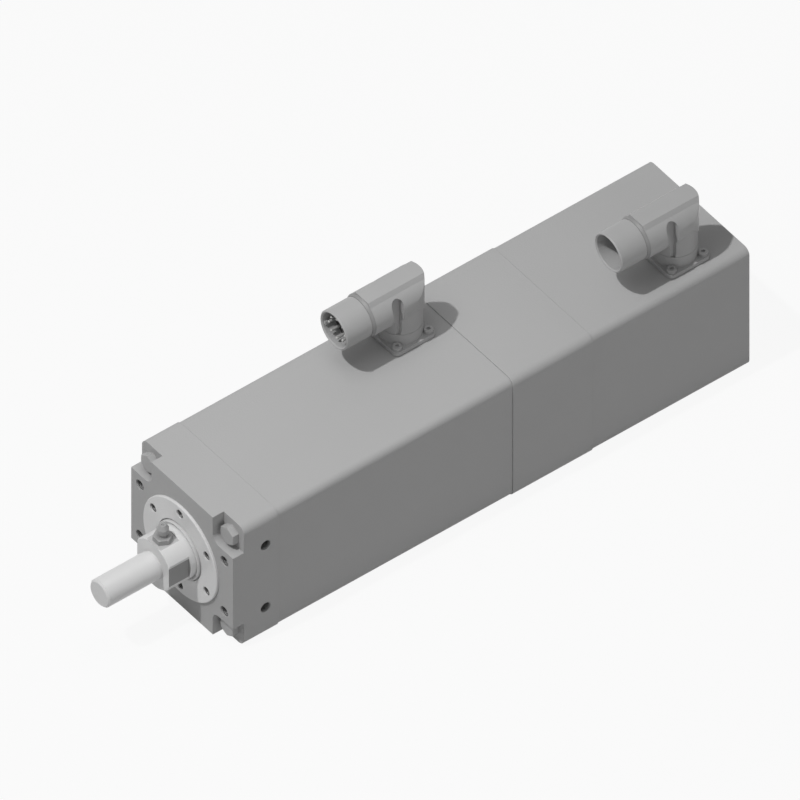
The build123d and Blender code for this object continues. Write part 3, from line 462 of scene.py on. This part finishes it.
class CylinderElbow(bpy.types.PropertyGroup):
    """Sizes of a connector's elbow, from the axes of its neck and its barrel."""

    body: length_property("Body", "Radius of the barrel", 0.01205)
    flat: length_property("Flat", "Half the width of the flat top", 0.0053)
    top: length_property("Top", "Height of the flat top", 0.0123)
    rear: length_property("Rear", "Radius of the rounded rear", 0.0121)
    front: length_property("Front", "Front end of the barrel", 0.0247)
    web: length_property("Web", "Half the width of the web between the slots", 0.0073)
    seat: length_property("Seat", "Inner radius of the added front shell", 0.0102)
    spare: length_property("Spare", "How far added stock stands out before it is cut", 0.0004)
    cast_front: length_property("Cast slot, front", "Front end of the casting's slot", 0.016)
    neck: length_property("Neck", "Radius of the neck, with a little clearance", 0.01147)
    slot_back: length_property("Slot, back", "Rear end of the finished slot", 0.0066)
    slot_width: length_property("Slot width", "Width of the finished slot", 0.0070)
    slot_top: length_property("Slot top", "Top of the finished slot", 0.0087)
    slot_drop: length_property("Slot drop", "Foot of the slot below the barrel's axis", 0.0158)
    collar: length_property("Collar", "Radius of the ring in front of the barrel", 0.01205)
    collar_length: length_property("Collar length", "Length of that ring", 0.0019)
    overlap: FloatProperty(
        name="Overlap",
        description="Angle, in degrees, by which added stock ends above the shaping",
        default=2.0,
    )
    seat_end: FloatProperty(
        name="Seat end",
        description="Angle on the barrel, in degrees, where the added front shell ends",
        default=65.0,
    )
    crown_foot: FloatProperty(
        name="Crown foot",
        description="Angle on the barrel, in degrees, where the crown's sides end",
        default=55.0,
    )
    low: FloatProperty(
        name="Low",
        description="Angle on the barrel, in degrees below its axis, where the shaping ends",
        default=9.0,
    )


class CylinderStage(bpy.types.PropertyGroup):
    """Levels of the studio's light."""

    sun: FloatProperty(name="Sun", description="Strength of the high sun", default=1.69)
    side: FloatProperty(name="Side light", description="Strength of the side sun", default=0.36)
    front: FloatProperty(
        name="Front lamp",
        description="Power of the lamp over the front",
        default=0.36,
        unit="POWER",
    )
    sky: FloatProperty(name="Sky", description="Strength of the even light all round", default=0.25)
    white: FloatProperty(name="White", description="Level of the backdrop's white", default=0.965)
    bounce: FloatProperty(
        name="Floor", description="Share of light that the floor gives back", default=0.45
    )
    shadow: FloatProperty(
        name="Shadow", description="Share of the floor's shadow that shows", default=0.05
    )


def dress(slot, material):
    """Gives the finish to every CAD node of a record slot."""
    for part in frame["record"]["subparts"]:
        if part["material_slot"] == slot:
            node = frame["nodes"][part["node"]]
            node.data.materials.clear()
            node.data.materials.append(material)
    return material


def link(name, data):
    """An object at the origin for a mesh, a light or a camera."""
    made = bpy.data.objects.new(name, data)
    bpy.context.scene.collection.objects.link(made)
    return made


def plain_mesh(name, form):
    """Ends mesh work in a mesh of its own."""
    mesh = bpy.data.meshes.new(name)
    form.to_mesh(mesh)
    form.free()
    return mesh


def merged(node):
    """A copy of a CAD node's mesh with its loose triangles joined."""
    form = bmesh.new()
    form.from_mesh(frame["nodes"][node].data)
    bmesh.ops.remove_doubles(form, verts=form.verts, dist=WELD)
    mesh = plain_mesh(node + "_crisp", form)
    if "custom_normal" in mesh.attributes:
        mesh.attributes.remove(mesh.attributes["custom_normal"])
    return mesh


def creased(mesh, crease):
    """Smooths a mesh and keeps its edges sharp above an angle."""
    form = bmesh.new()
    form.from_mesh(mesh)
    for face in form.faces:
        face.smooth = True
    for edge in form.edges:
        edge.smooth = edge.is_manifold and edge.calc_face_angle() < crease
    form.to_mesh(mesh)
    form.free()


def stand_in(node, mesh, crease):
    """Puts a mesh in a CAD node's place, on its body and with its finish."""
    creased(mesh, crease)
    source = frame["nodes"][node]
    mesh.materials.clear()
    mesh.materials.append(source.data.materials[0])
    piece = link(node + "_crisp", mesh)
    body = next(name for name, empty in frame["bodies"].items() if empty == source.parent)
    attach(piece, body)
    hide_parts(node)


def arc(radius, start, end, steps=24):
    """Points on a circle between two angles in degrees."""
    angles = [math.radians(start + (end - start) * i / steps) for i in range(steps + 1)]
    return [(radius * math.cos(angle), radius * math.sin(angle)) for angle in angles]


def full_round(radius, steps):
    """Points all round a circle, each of them once."""
    return arc(radius, 0.0, 360.0, steps)[:-1]


def drawn_out(corners, run):
    """A closed solid: a flat outline drawn out along a run."""
    form = bmesh.new()
    form.faces.new([form.verts.new(corner) for corner in corners])
    made = bmesh.ops.extrude_face_region(form, geom=form.faces[:])
    moved = [part for part in made["geom"] if isinstance(part, bmesh.types.BMVert)]
    bmesh.ops.translate(form, verts=moved, vec=run)
    bmesh.ops.recalc_face_normals(form, faces=form.faces)
    return plain_mesh("solid", form)


def worked(mesh, steps):
    """Joins solids to a mesh or cuts them from it, in order, and gives back the new mesh."""
    blank = link("blank", mesh)
    tools = [link("tool", solid) for operation, solid in steps]
    for (operation, solid), tool in zip(steps, tools):
        change = blank.modifiers.new(operation, "BOOLEAN")
        change.operation = operation
        change.object = tool
        change.use_hole_tolerant = True
    depsgraph = bpy.context.evaluated_depsgraph_get()
    result = bpy.data.meshes.new_from_object(blank.evaluated_get(depsgraph), depsgraph=depsgraph)
    blank.modifiers.clear()
    for spent in [blank] + tools:
        bpy.data.objects.remove(spent)
    return result


class Pattern(Graph):
    """A Geometry Nodes tree with named inputs for its sizes."""

    def __init__(self, name):
        super().__init__(bpy.data.node_groups.new(name, "GeometryNodeTree"))
        face = self.tree.interface
        face.new_socket(name="Geometry", in_out="OUTPUT", socket_type="NodeSocketGeometry")
        face.new_socket(name="Geometry", in_out="INPUT", socket_type="NodeSocketGeometry")

    def sizes(self, **kinds):
        """Adds the inputs and gives back the sockets of all of them, the geometry first."""
        for name, kind in kinds.items():
            self.tree.interface.new_socket(name=name, in_out="INPUT", socket_type=kind)
        start = self.tree.nodes.new("NodeGroupInput")
        return [Socket(self, output) for output in start.outputs][: len(kinds) + 1]

    def finish(self, instances, material):
        """Ends the tree in real geometry with its finish."""
        real = self.node("GeometryNodeRealizeInstances", values=(instances,))
        painted = self.node(
            "GeometryNodeSetMaterial", values={"Geometry": real, "Material": material}
        )
        self.node("NodeGroupOutput", values=(painted,))

    def grow(self, name, points, body, slot, **sizes):
        """Runs the tree on points and keeps the result as a plain mesh on a body."""
        seed = bpy.data.meshes.new(name + "_points")
        seed.from_pydata(points, [], [])
        source = link(name + "_points", seed)
        modifier = source.modifiers.new("Pattern", "NODES")
        modifier.node_group = self.tree
        for item in self.tree.interface.items_tree:
            if item.in_out == "INPUT" and item.name in sizes:
                modifier[item.identifier] = sizes[item.name]
        depsgraph = bpy.context.evaluated_depsgraph_get()
        mesh = bpy.data.meshes.new_from_object(source.evaluated_get(depsgraph), depsgraph=depsgraph)
        source.modifiers.remove(modifier)
        bpy.data.objects.remove(source)
        piece = link(name, mesh)
        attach(piece, body)
        return piece


def ring_places(centre, radius, count, start):
    """Places on a circle across the rod's axis, as (x, y, z)."""
    x, y, z = centre
    angles = [math.radians(start) + math.tau * i / count for i in range(count)]
    return [(x, y + radius * math.cos(a), z + radius * math.sin(a)) for a in angles]


def mount_holes(name):
    """The places of a bolt pattern's holes and their radius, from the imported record."""
    mount = next(row for row in frame["record"]["mounts"] if row["name"] == name)
    x, y, z = mount["pos_m"]
    dims = mount["dims"]
    radius = dims["hole_r_mm"] / 1000
    if "pcd_mm" in dims:
        return ring_places((x, y, z), dims["pcd_mm"] / 2000, dims["count"], start=30.0), radius
    across = dims.get("spacing_x_mm", 0.0) / 2000
    up = dims["spacing_y_mm"] / 2000
    columns = sorted({-across, across})
    return [(x, y + a, z + b) for a in columns for b in (-up, up)], radius


def thread_pattern(material):
    """A right-hand helical ridge inside each hole, from its mouth inwards."""
    pattern = Pattern("hole_thread")
    holes, radius, ridge, turns, depth, steps, turn = pattern.sizes(
        Radius="NodeSocketFloat",
        Ridge="NodeSocketFloat",
        Turns="NodeSocketFloat",
        Depth="NodeSocketFloat",
        Steps="NodeSocketInt",
        Turn="NodeSocketVector",
    )
    helix = pattern.node(
        "GeometryNodeCurveSpiral",
        values={
            "Resolution": steps,
            "Rotations": turns,
            "Start Radius": radius,
            "End Radius": radius,
            "Height": depth,
            "Reverse": True,
        },
    )
    upright = pattern.node("GeometryNodeSetCurveNormal", {"mode": "Z_UP"}, (helix,))
    section = pattern.node(
        "GeometryNodeCurvePrimitiveCircle", values={"Resolution": 3, "Radius": ridge}
    )
    inwards = pattern.node(
        "GeometryNodeTransform", values={"Geometry": section, "Rotation": (0.0, 0.0, math.pi)}
    )
    thread = pattern.node(
        "GeometryNodeCurveToMesh",
        values={"Curve": upright, "Profile Curve": inwards, "Fill Caps": True},
    )
    placed = pattern.node(
        "GeometryNodeInstanceOnPoints",
        values={"Points": holes, "Instance": thread, "Rotation": turn},
    )
    pattern.finish(placed, material)
    return pattern


def knurl_pattern(material):
    """Ribs round the head of each socket screw."""
    pattern = Pattern("head_knurl")
    heads, radius, rib, height, count, turn = pattern.sizes(
        Radius="NodeSocketFloat",
        Rib="NodeSocketFloat",
        Height="NodeSocketFloat",
        Count="NodeSocketInt",
        Turn="NodeSocketVector",
    )
    ring = pattern.node("GeometryNodeMeshCircle", values={"Vertices": count, "Radius": radius})
    prism = pattern.node(
        "GeometryNodeMeshCylinder", values={"Vertices": 3, "Radius": rib, "Depth": height}
    )
    outwards = pattern.node(
        "FunctionNodeAlignRotationToVector",
        {"axis": "X"},
        {"Vector": pattern.node("GeometryNodeInputPosition")},
    )
    ribs = pattern.node(
        "GeometryNodeInstanceOnPoints",
        values={"Points": ring, "Instance": prism, "Rotation": outwards},
    )
    placed = pattern.node(
        "GeometryNodeInstanceOnPoints", values={"Points": heads, "Instance": ribs, "Rotation": turn}
    )
    pattern.finish(placed, material)
    return pattern


def rim_pattern(material):
    """A moulded rim round each contact."""
    pattern = Pattern("contact_rim")
    contacts, radius, thickness = pattern.sizes(
        Radius="NodeSocketFloat", Thickness="NodeSocketFloat"
    )
    ring = pattern.node(
        "GeometryNodeCurvePrimitiveCircle", values={"Resolution": 20, "Radius": radius}
    )
    section = pattern.node(
        "GeometryNodeCurvePrimitiveCircle", values={"Resolution": 8, "Radius": thickness}
    )
    rim = pattern.node("GeometryNodeCurveToMesh", values={"Curve": ring, "Profile Curve": section})
    placed = pattern.node(
        "GeometryNodeInstanceOnPoints",
        values={"Points": contacts, "Instance": rim, "Rotation": (0.0, QUARTER_TURN, 0.0)},
    )
    pattern.finish(placed, material)
    return pattern


class CYLINDER_OT_housing(bpy.types.Operator):
    """Powder coats the four housing sections"""

    bl_idname = "cylinder.housing"
    bl_label = "Housing finish"

    def execute(self, context):
        dress("housing_grey", coated("powder_coat", context.scene.cylinder_colours.housing))
        return {"FINISHED"}


class CYLINDER_OT_rod(bpy.types.Operator):
    """Finishes the rod, its guide plate, its wiper and its grease nipple"""

    bl_idname = "cylinder.rod"
    bl_label = "Rod and guide finish"

    def execute(self, context):
        colours = context.scene.cylinder_colours
        details = context.scene.cylinder_details
        # The flats' colour goes in as painted shade on the rod's flats
        dress("rod_steel", ground("ground_rod", colours.rod, colours.milled_and_shaded, details))
        dress("plate_steel", turned("turned_plate", colours.plate))
        dress("wiper_polymer", moulded("wiper_polymer", colours.wiper, roughness=0.5))
        dress("nipple_steel", plated("zinc_nipple", colours.nipple, roughness=0.4, edge=0.0001))
        for node in ("piston_rod", "grease_nipple"):
            stand_in(node, merged(node), details.crease)
        self.check_ball(details.check_ball)
        return {"FINISHED"}

    def check_ball(self, radius):
        """The ball that shuts the grease nipple, a little inside its mouth."""
        low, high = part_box("grease_nipple")
        depth = radius * 1.2
        centre = Vector(((low.x + high.x) / 2, (low.y + high.y) / 2, high.z - depth))
        form = bmesh.new()
        bmesh.ops.create_icosphere(
            form, subdivisions=3, radius=radius, matrix=Matrix.Translation(centre)
        )
        for face in form.faces:
            face.smooth = True
        mesh = plain_mesh("nipple_ball", form)
        mesh.materials.append(bpy.data.materials["zinc_nipple"])
        ball = link("nipple_ball", mesh)
        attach(ball, "rod")


class CYLINDER_OT_fasteners(bpy.types.Operator):
    """Finishes the bolts and screws"""

    bl_idname = "cylinder.fasteners"
    bl_label = "Fastener finish"

    def execute(self, context):
        details = context.scene.cylinder_details
        bolts = context.scene.cylinder_colours.bolts
        steel = dress("bolt_steel", plated("plated_bolt", bolts, roughness=0.45))
        knurl = knurl_pattern(steel)
        for side in ("power", "signal"):
            low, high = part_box(side + "_flange_screws")
            reach = details.flange_head
            middles = [
                (x, y, high.z - details.flange_sink)
                for x in (low.x + reach, high.x - reach)
                for y in (low.y + reach, high.y - reach)
            ]
            sizes = {
                "Radius": reach,
                "Rib": details.rib,
                "Height": details.flange_rib,
                "Count": details.flange_ribs,
            }
            knurl.grow(side + "_flange_knurls", middles, "housing", "bolt_steel", **sizes)
        low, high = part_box("rear_cover_screws")
        reach = details.rear_head
        middles = [
            (low.x + details.rear_sink, y, z)
            for y in (low.y + reach, high.y - reach)
            for z in (low.z + reach, high.z - reach)
        ]
        sizes = {
            "Radius": reach,
            "Rib": details.rib,
            "Height": details.rear_rib,
            "Count": details.rear_ribs,
            "Turn": (0.0, QUARTER_TURN, 0.0),
        }
        knurl.grow("rear_knurls", middles, "housing", "bolt_steel", **sizes)
        return {"FINISHED"}


class CYLINDER_OT_connectors(bpy.types.Operator):
    """Finishes the two connectors with their inserts and contacts"""

    bl_idname = "cylinder.connectors"
    bl_label = "Connector finish"

    def execute(self, context):
        colours = context.scene.cylinder_colours
        dress("connector_metal", plated("satin_nickel", colours.connector, roughness=0.45))
        # Painted shade: the rings take a darker plating colour that stands in for the shade on the
        # band between elbow and nose
        plated("collar_nickel", colours.collar, roughness=0.5)
        plastic = dress("insulator", moulded("insulator", colours.insulator))
        pale = plated("contact_plating", colours.contact, roughness=0.25, metallic=0.3, edge=0.0001)
        dress("contact_metal", pale)
        details = context.scene.cylinder_details
        rims = rim_pattern(plastic)
        for side, contacts, count, radius in (
            ("power", "power_pins", details.power_contacts, details.power_contact),
            ("signal", "signal_contacts", details.signal_contacts, details.signal_contact),
        ):
            low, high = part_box(contacts)
            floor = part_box(side + "_insert")[1].x
            centre = (floor, (low.y + high.y) / 2, self.axis_height(side))
            circle = (high.z - centre[2]) - radius
            places = ring_places(centre, circle, count, start=90.0)
            sizes = {"Radius": radius + details.rim, "Thickness": details.rim}
            rims.grow(side + "_contact_rims", places, side + "_head", "insulator", **sizes)
            stand_in(side + "_nose", merged(side + "_nose"), details.crease)
            stand_in(side + "_elbow", self.reshape(side), details.crease)
            self.collar(side)
        return {"FINISHED"}

    def outlines(self, size):
        """Sections of an elbow's added stock and of the cut round it, from the barrel's axis."""
        hair = size.spare / 8  # keeps the faces of two solids off one plane
        bulk = size.body * TOOL_REACH
        foot = size.overlap - size.low
        grown = size.body + size.spare
        inner = size.web - size.spare
        edge = math.degrees(math.acos(inner / grown))
        crown = [(size.flat - 2 * hair, size.top - hair)]
        flank = crown + arc(grown, size.crown_foot, foot)
        rear = flank + [(inner, flank[-1][1]), (inner, inner)]
        cast = crown + arc(grown, size.crown_foot, -edge) + [(inner, inner)]
        sleeve = flank + arc(size.seat, foot, size.seat_end)
        outside = [(0.0, size.top + hair), (size.flat, size.top + hair)]
        outside += arc(size.body, size.crown_foot, -90.0, BARREL_STEPS)
        outside += [(0.0, -bulk), (bulk, -bulk), (bulk, bulk), (0.0, bulk)]
        return rear, cast, sleeve, outside

    def reshape(self, side):
        """Gives an elbow its crown, its rounded rear and its narrow slots."""
        size = bpy.context.scene.cylinder_elbow
        hair = size.spare / 8
        bulk = size.body * TOOL_REACH
        x, y = self.neck_place(side)
        z = self.axis_height(side)
        rear, cast, sleeve, outside = self.outlines(size)
        post = [(x + a, y + b, z - bulk - size.spare) for a, b in full_round(size.neck, NECK_STEPS)]
        steps = []
        for operation, outline, start, end in (
            ("UNION", rear, -size.rear, size.slot_back + 4 * hair),
            ("UNION", cast, size.slot_back + 2 * hair, size.cast_front + 2 * hair),
            ("UNION", sleeve, size.cast_front, size.front),
            ("DIFFERENCE", outside, -bulk, size.front + size.spare),
        ):
            for hand in (1, -1):
                corners = [(x + start, y + hand * a, z + b) for a, b in outline]
                solid = drawn_out(corners, (end - start, 0.0, 0.0))
                if outline is outside:
                    neck = drawn_out(post, (0.0, 0.0, bulk - size.spare))
                    solid = worked(solid, [("DIFFERENCE", neck)])
                steps.append((operation, solid))
        ahead = bulk / 3
        plan = [(ahead, size.body)] + arc(size.rear, 90.0, 270.0) + [(ahead, -size.body)]
        plan += [(ahead, -bulk), (-bulk, -bulk), (-bulk, bulk), (ahead, bulk)]
        foot = z + min(b for a, b in rear) - hair
        corners = [(x + a, y + b, foot) for a, b in plan]
        steps.append(("DIFFERENCE", drawn_out(corners, (0.0, 0.0, bulk))))
        radius = size.slot_width / 2
        middle = x + size.slot_back + radius
        height = z + size.slot_top - radius
        slot = [(middle + a, height + b) for a, b in arc(radius, 0.0, 180.0)]
        slot += [(middle - radius, z - size.slot_drop), (middle + radius, z - size.slot_drop)]
        for hand in (1, -1):
            corners = [(a, y + hand * (size.web + hair), b) for a, b in slot]
            steps.append(("DIFFERENCE", drawn_out(corners, (0.0, hand * bulk, 0.0))))
        return worked(merged(side + "_elbow"), steps)

    def collar(self, side):
        """The tapered ring between a connector's elbow and nose, in a darker colour that is painted
        shade.
        """
        size = bpy.context.scene.cylinder_elbow
        low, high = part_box(side + "_nose")
        start = size.front + self.neck_place(side)[0]
        centre = Vector((start, (low.y + high.y) / 2, self.axis_height(side)))
        nose = (high.y - low.y) / 2
        lift = size.spare / 20  # keeps the ring's inner side off the nose
        section = [(0.0, nose), (0.0, size.collar), (size.collar_length, nose)]
        form = bmesh.new()
        rows = []
        for along, radius in section:
            turns = full_round(radius + lift, COLLAR_STEPS)
            rows.append([form.verts.new(centre + Vector((along, a, b))) for a, b in turns])
        for i in range(COLLAR_STEPS):
            for here, there in ((0, 1), (1, 2), (2, 0)):
                j = (i + 1) % COLLAR_STEPS
                form.faces.new((rows[here][i], rows[here][j], rows[there][j], rows[there][i]))
        bmesh.ops.recalc_face_normals(form, faces=form.faces)
        mesh = plain_mesh(side + "_collar", form)
        creased(mesh, bpy.context.scene.cylinder_details.crease)
        mesh.materials.append(bpy.data.materials["collar_nickel"])
        ring = link(side + "_collar", mesh)
        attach(ring, side + "_head")

    def neck_place(self, side):
        """The x and y of a connector's neck, over the middle of its flange."""
        low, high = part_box(side + "_flange")
        return (low.x + high.x) / 2, (low.y + high.y) / 2

    def axis_height(self, side):
        """The height of a connector's axis."""
        low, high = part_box(side + "_nose")
        return (low.z + high.z) / 2


class CYLINDER_OT_drive(bpy.types.Operator):
    """Finishes the motor, screw, bearings, brake and resolver inside"""

    bl_idname = "cylinder.drive"
    bl_label = "Inner drive finish"

    def execute(self, context):
        colours = context.scene.cylinder_colours
        steel = turned("machined_steel", colours.steel, roughness=0.3, metallic=0.9)
        bronze = plated("sintered_bronze", colours.bronze, roughness=0.5, metallic=0.8)
        magnet = plated("magnet_nickel", colours.magnet, roughness=0.3, metallic=0.9)
        dress("inner_steel", steel)
        dress("bronze", bronze)
        dress("copper", wound("winding_wire", colours.copper, pitch=0.0009))
        dress("lamination", laminated("sheet_stack", colours.lamination, sheet=0.0005))
        dress("magnet", magnet)
        dress("friction_lining", moulded("brake_lining", colours.lining, roughness=0.85))
        dress("seal_rubber", moulded("seal_rubber", colours.rubber, roughness=0.65))
        details = context.scene.cylinder_details
        # The screw's material carries painted shade in its ball groove
        track_and_shade = tracked("ball_track", colours.steel, details.lead, details.screw_core)
        screw = frame["nodes"]["ball_screw"].data
        screw.materials.clear()
        screw.materials.append(track_and_shade)
        return {"FINISHED"}


class CYLINDER_OT_threads(bpy.types.Operator):
    """Winds threads in the holes of the front block and the guide plate"""

    bl_idname = "cylinder.threads"
    bl_label = "Hole threads"

    def execute(self, context):
        details = context.scene.cylinder_details
        colour = context.scene.cylinder_colours.thread
        # Painted shade: the uncoated threads take a dark colour that stands in for the shade inside
        # the holes
        bare_and_shaded = plated("bare_thread", colour, roughness=0.35, metallic=0.5, edge=0.0001)
        pattern = thread_pattern(bare_and_shaded)
        inset = details.inset
        front = (0.0, -QUARTER_TURN, 0.0)
        left = (-QUARTER_TURN, 0.0, 0.0)
        right = (QUARTER_TURN, 0.0, 0.0)
        for name, mount, turn, pitch, turns, inwards in (
            ("face_threads", "front_bolts", front, details.pitch, 11, (-inset, 0.0)),
            ("right_threads", "side_bolts_right", right, details.pitch, 8, (0.0, -inset)),
            ("left_threads", "side_bolts_left", left, details.pitch, 8, (0.0, inset)),
            ("plate_threads", "plate_bolt_circle", front, details.fine_pitch, 6, (-inset, 0.0)),
        ):
            holes, radius = mount_holes(mount)
            mouths = [(x + inwards[0], y + inwards[1], z) for x, y, z in holes]
            pattern.grow(
                name,
                mouths,
                "housing",
                "bolt_steel",
                Radius=radius - details.ridge / 2,
                Ridge=details.ridge,
                Turns=float(turns),
                Depth=pitch * turns,
                Steps=details.turn_steps,
                Turn=turn,
            )
        return {"FINISHED"}


class CYLINDER_OT_stage(bpy.types.Operator):
    """Sets up the floor, the light and the camera"""

    bl_idname = "cylinder.stage"
    bl_label = "Studio"

    def execute(self, context):
        stage = context.scene.cylinder_stage
        self.floor(stage)
        self.sky(stage)
        self.light("high_sun", "SUN", stage.sun, HIGH_SUN, angle=HIGH_SUN_WIDTH)
        self.light("side_sun", "SUN", stage.side, SIDE_SUN, angle=SIDE_SUN_WIDTH)
        lamp = self.light("front_lamp", "AREA", stage.front, OVERHEAD, size=LAMP_WIDTH)
        lamp.location = LAMP_PLACE
        self.camera()
        context.scene.view_settings.view_transform = "Standard"
        return {"FINISHED"}

    def floor(self, stage):
        """A wide floor under the part, lit for the part and white for the camera."""
        low, high, z = -FLOOR_REACH, FLOOR_REACH, cad_box[0].z
        corners = [(low, low, z), (high, low, z), (high, high, z), (low, high, z)]
        mesh = bpy.data.meshes.new("floor")
        mesh.from_pydata(corners, [], [(0, 1, 2, 3)])
        floor = link("floor", mesh)
        finish = Finish("studio_floor")
        tone = finish.tone(finish.noise(scale=3.0), [stage.bounce] * 3, low=0.98, high=1.02)
        shaded = finish.node("ShaderNodeBsdfDiffuse", values={"Color": tone})
        lit = finish.node("ShaderNodeBsdfDiffuse", values={"Color": (0.9, 0.9, 0.9, 1.0)})
        level = (stage.white, stage.white, stage.white, 1.0)
        glow = finish.node("ShaderNodeEmission", values={"Color": level, "Strength": 1.0})
        white = finish.node("ShaderNodeMixShader", values=(1.0 - stage.shadow, lit, glow))
        seen = self.seen(finish)
        both = finish.node("ShaderNodeMixShader", values=(seen, shaded, white))
        finish.node("ShaderNodeOutputMaterial", values=(both,))
        mesh.materials.append(finish.material)

    def seen(self, graph):
        """1 where the camera, a gloss or a clear part looks, and 0 for light on its way."""
        path = graph.node("ShaderNodeLightPath").link.node
        rays = [
            Socket(graph, path.outputs[f"Is {kind} Ray"])
            for kind in ("Camera", "Glossy", "Transmission")
        ]
        return rays[0].maths("MAXIMUM", rays[0].maths("MAXIMUM", rays[0], rays[1]), rays[2])

    def sky(self, stage):
        """Even light all round, which the camera sees as white."""
        world = bpy.data.worlds.new("studio_sky")
        world.use_nodes = True
        bpy.context.scene.world = world
        graph = Graph(world.node_tree)
        even = graph.node("ShaderNodeBackground", values={"Strength": stage.sky})
        white = graph.node("ShaderNodeBackground", values={"Strength": stage.white})
        for socket in (even, white):
            socket.link.node.inputs["Color"].default_value = (1.0, 1.0, 1.0, 1.0)
        both = graph.node("ShaderNodeMixShader", values=(self.seen(graph), even, white))
        graph.node("ShaderNodeOutputWorld", values=(both,))

    def light(self, name, kind, energy, towards, **settings):
        """A light that shines on the part from this direction."""
        data = bpy.data.lights.new(name, kind)
        data.energy = energy
        for setting, value in settings.items():
            setattr(data, setting, value)
        lamp = link(name, data)
        lamp.rotation_mode = "QUATERNION"
        lamp.rotation_quaternion = Vector(towards).to_track_quat("Z", "Y")
        return lamp

    def camera(self):
        """A parallel view with the photograph's direction and width."""
        data = bpy.data.cameras.new("camera")
        data.type = "ORTHO"
        data.ortho_scale = PICTURE_WIDTH
        camera = link("camera", data)
        up = CAMERA_BACK.cross(CAMERA_RIGHT)
        across, along = CAMERA_SHIFT
        place = CAMERA_RIGHT * across + up * along + CAMERA_BACK * CAMERA_DISTANCE
        turn = Matrix((CAMERA_RIGHT, up, CAMERA_BACK)).transposed().to_4x4()
        camera.matrix_world = Matrix.Translation(place) @ turn
        bpy.context.scene.camera = camera


OPERATORS = (
    CYLINDER_OT_housing,
    CYLINDER_OT_rod,
    CYLINDER_OT_fasteners,
    CYLINDER_OT_connectors,
    CYLINDER_OT_drive,
    CYLINDER_OT_threads,
    CYLINDER_OT_stage,
)


class CYLINDER_PT_panel(bpy.types.Panel):
    """Lists the steps that finish the cylinder"""

    bl_idname = "CYLINDER_PT_panel"
    bl_label = "Electric cylinder"
    bl_space_type = "VIEW_3D"
    bl_region_type = "UI"
    bl_category = "Cylinder"

    def draw(self, context):
        for operator in OPERATORS:
            self.layout.operator(operator.bl_idname)
        for group in (context.scene.cylinder_colours, context.scene.cylinder_stage):
            for name in group.bl_rna.properties.keys():
                if name not in ("rna_type", "name"):
                    self.layout.prop(group, name)


GROUPS = {
    "cylinder_colours": CylinderColours,
    "cylinder_details": CylinderDetails,
    "cylinder_elbow": CylinderElbow,
    "cylinder_stage": CylinderStage,
}


def register():
    for kind in (*GROUPS.values(), *OPERATORS, CYLINDER_PT_panel):
        bpy.utils.register_class(kind)
    for name, group in GROUPS.items():
        setattr(bpy.types.Scene, name, PointerProperty(type=group))


def unregister():
    for name in GROUPS:
        delattr(bpy.types.Scene, name)
    for kind in (CYLINDER_PT_panel, *OPERATORS, *GROUPS.values()):
        bpy.utils.unregister_class(kind)


def main():
    """Registers the add-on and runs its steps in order."""
    register()
    for operator in OPERATORS:
        area, name = operator.bl_idname.split(".")
        getattr(getattr(bpy.ops, area), name)()


if __name__ == "__main__":
    main()
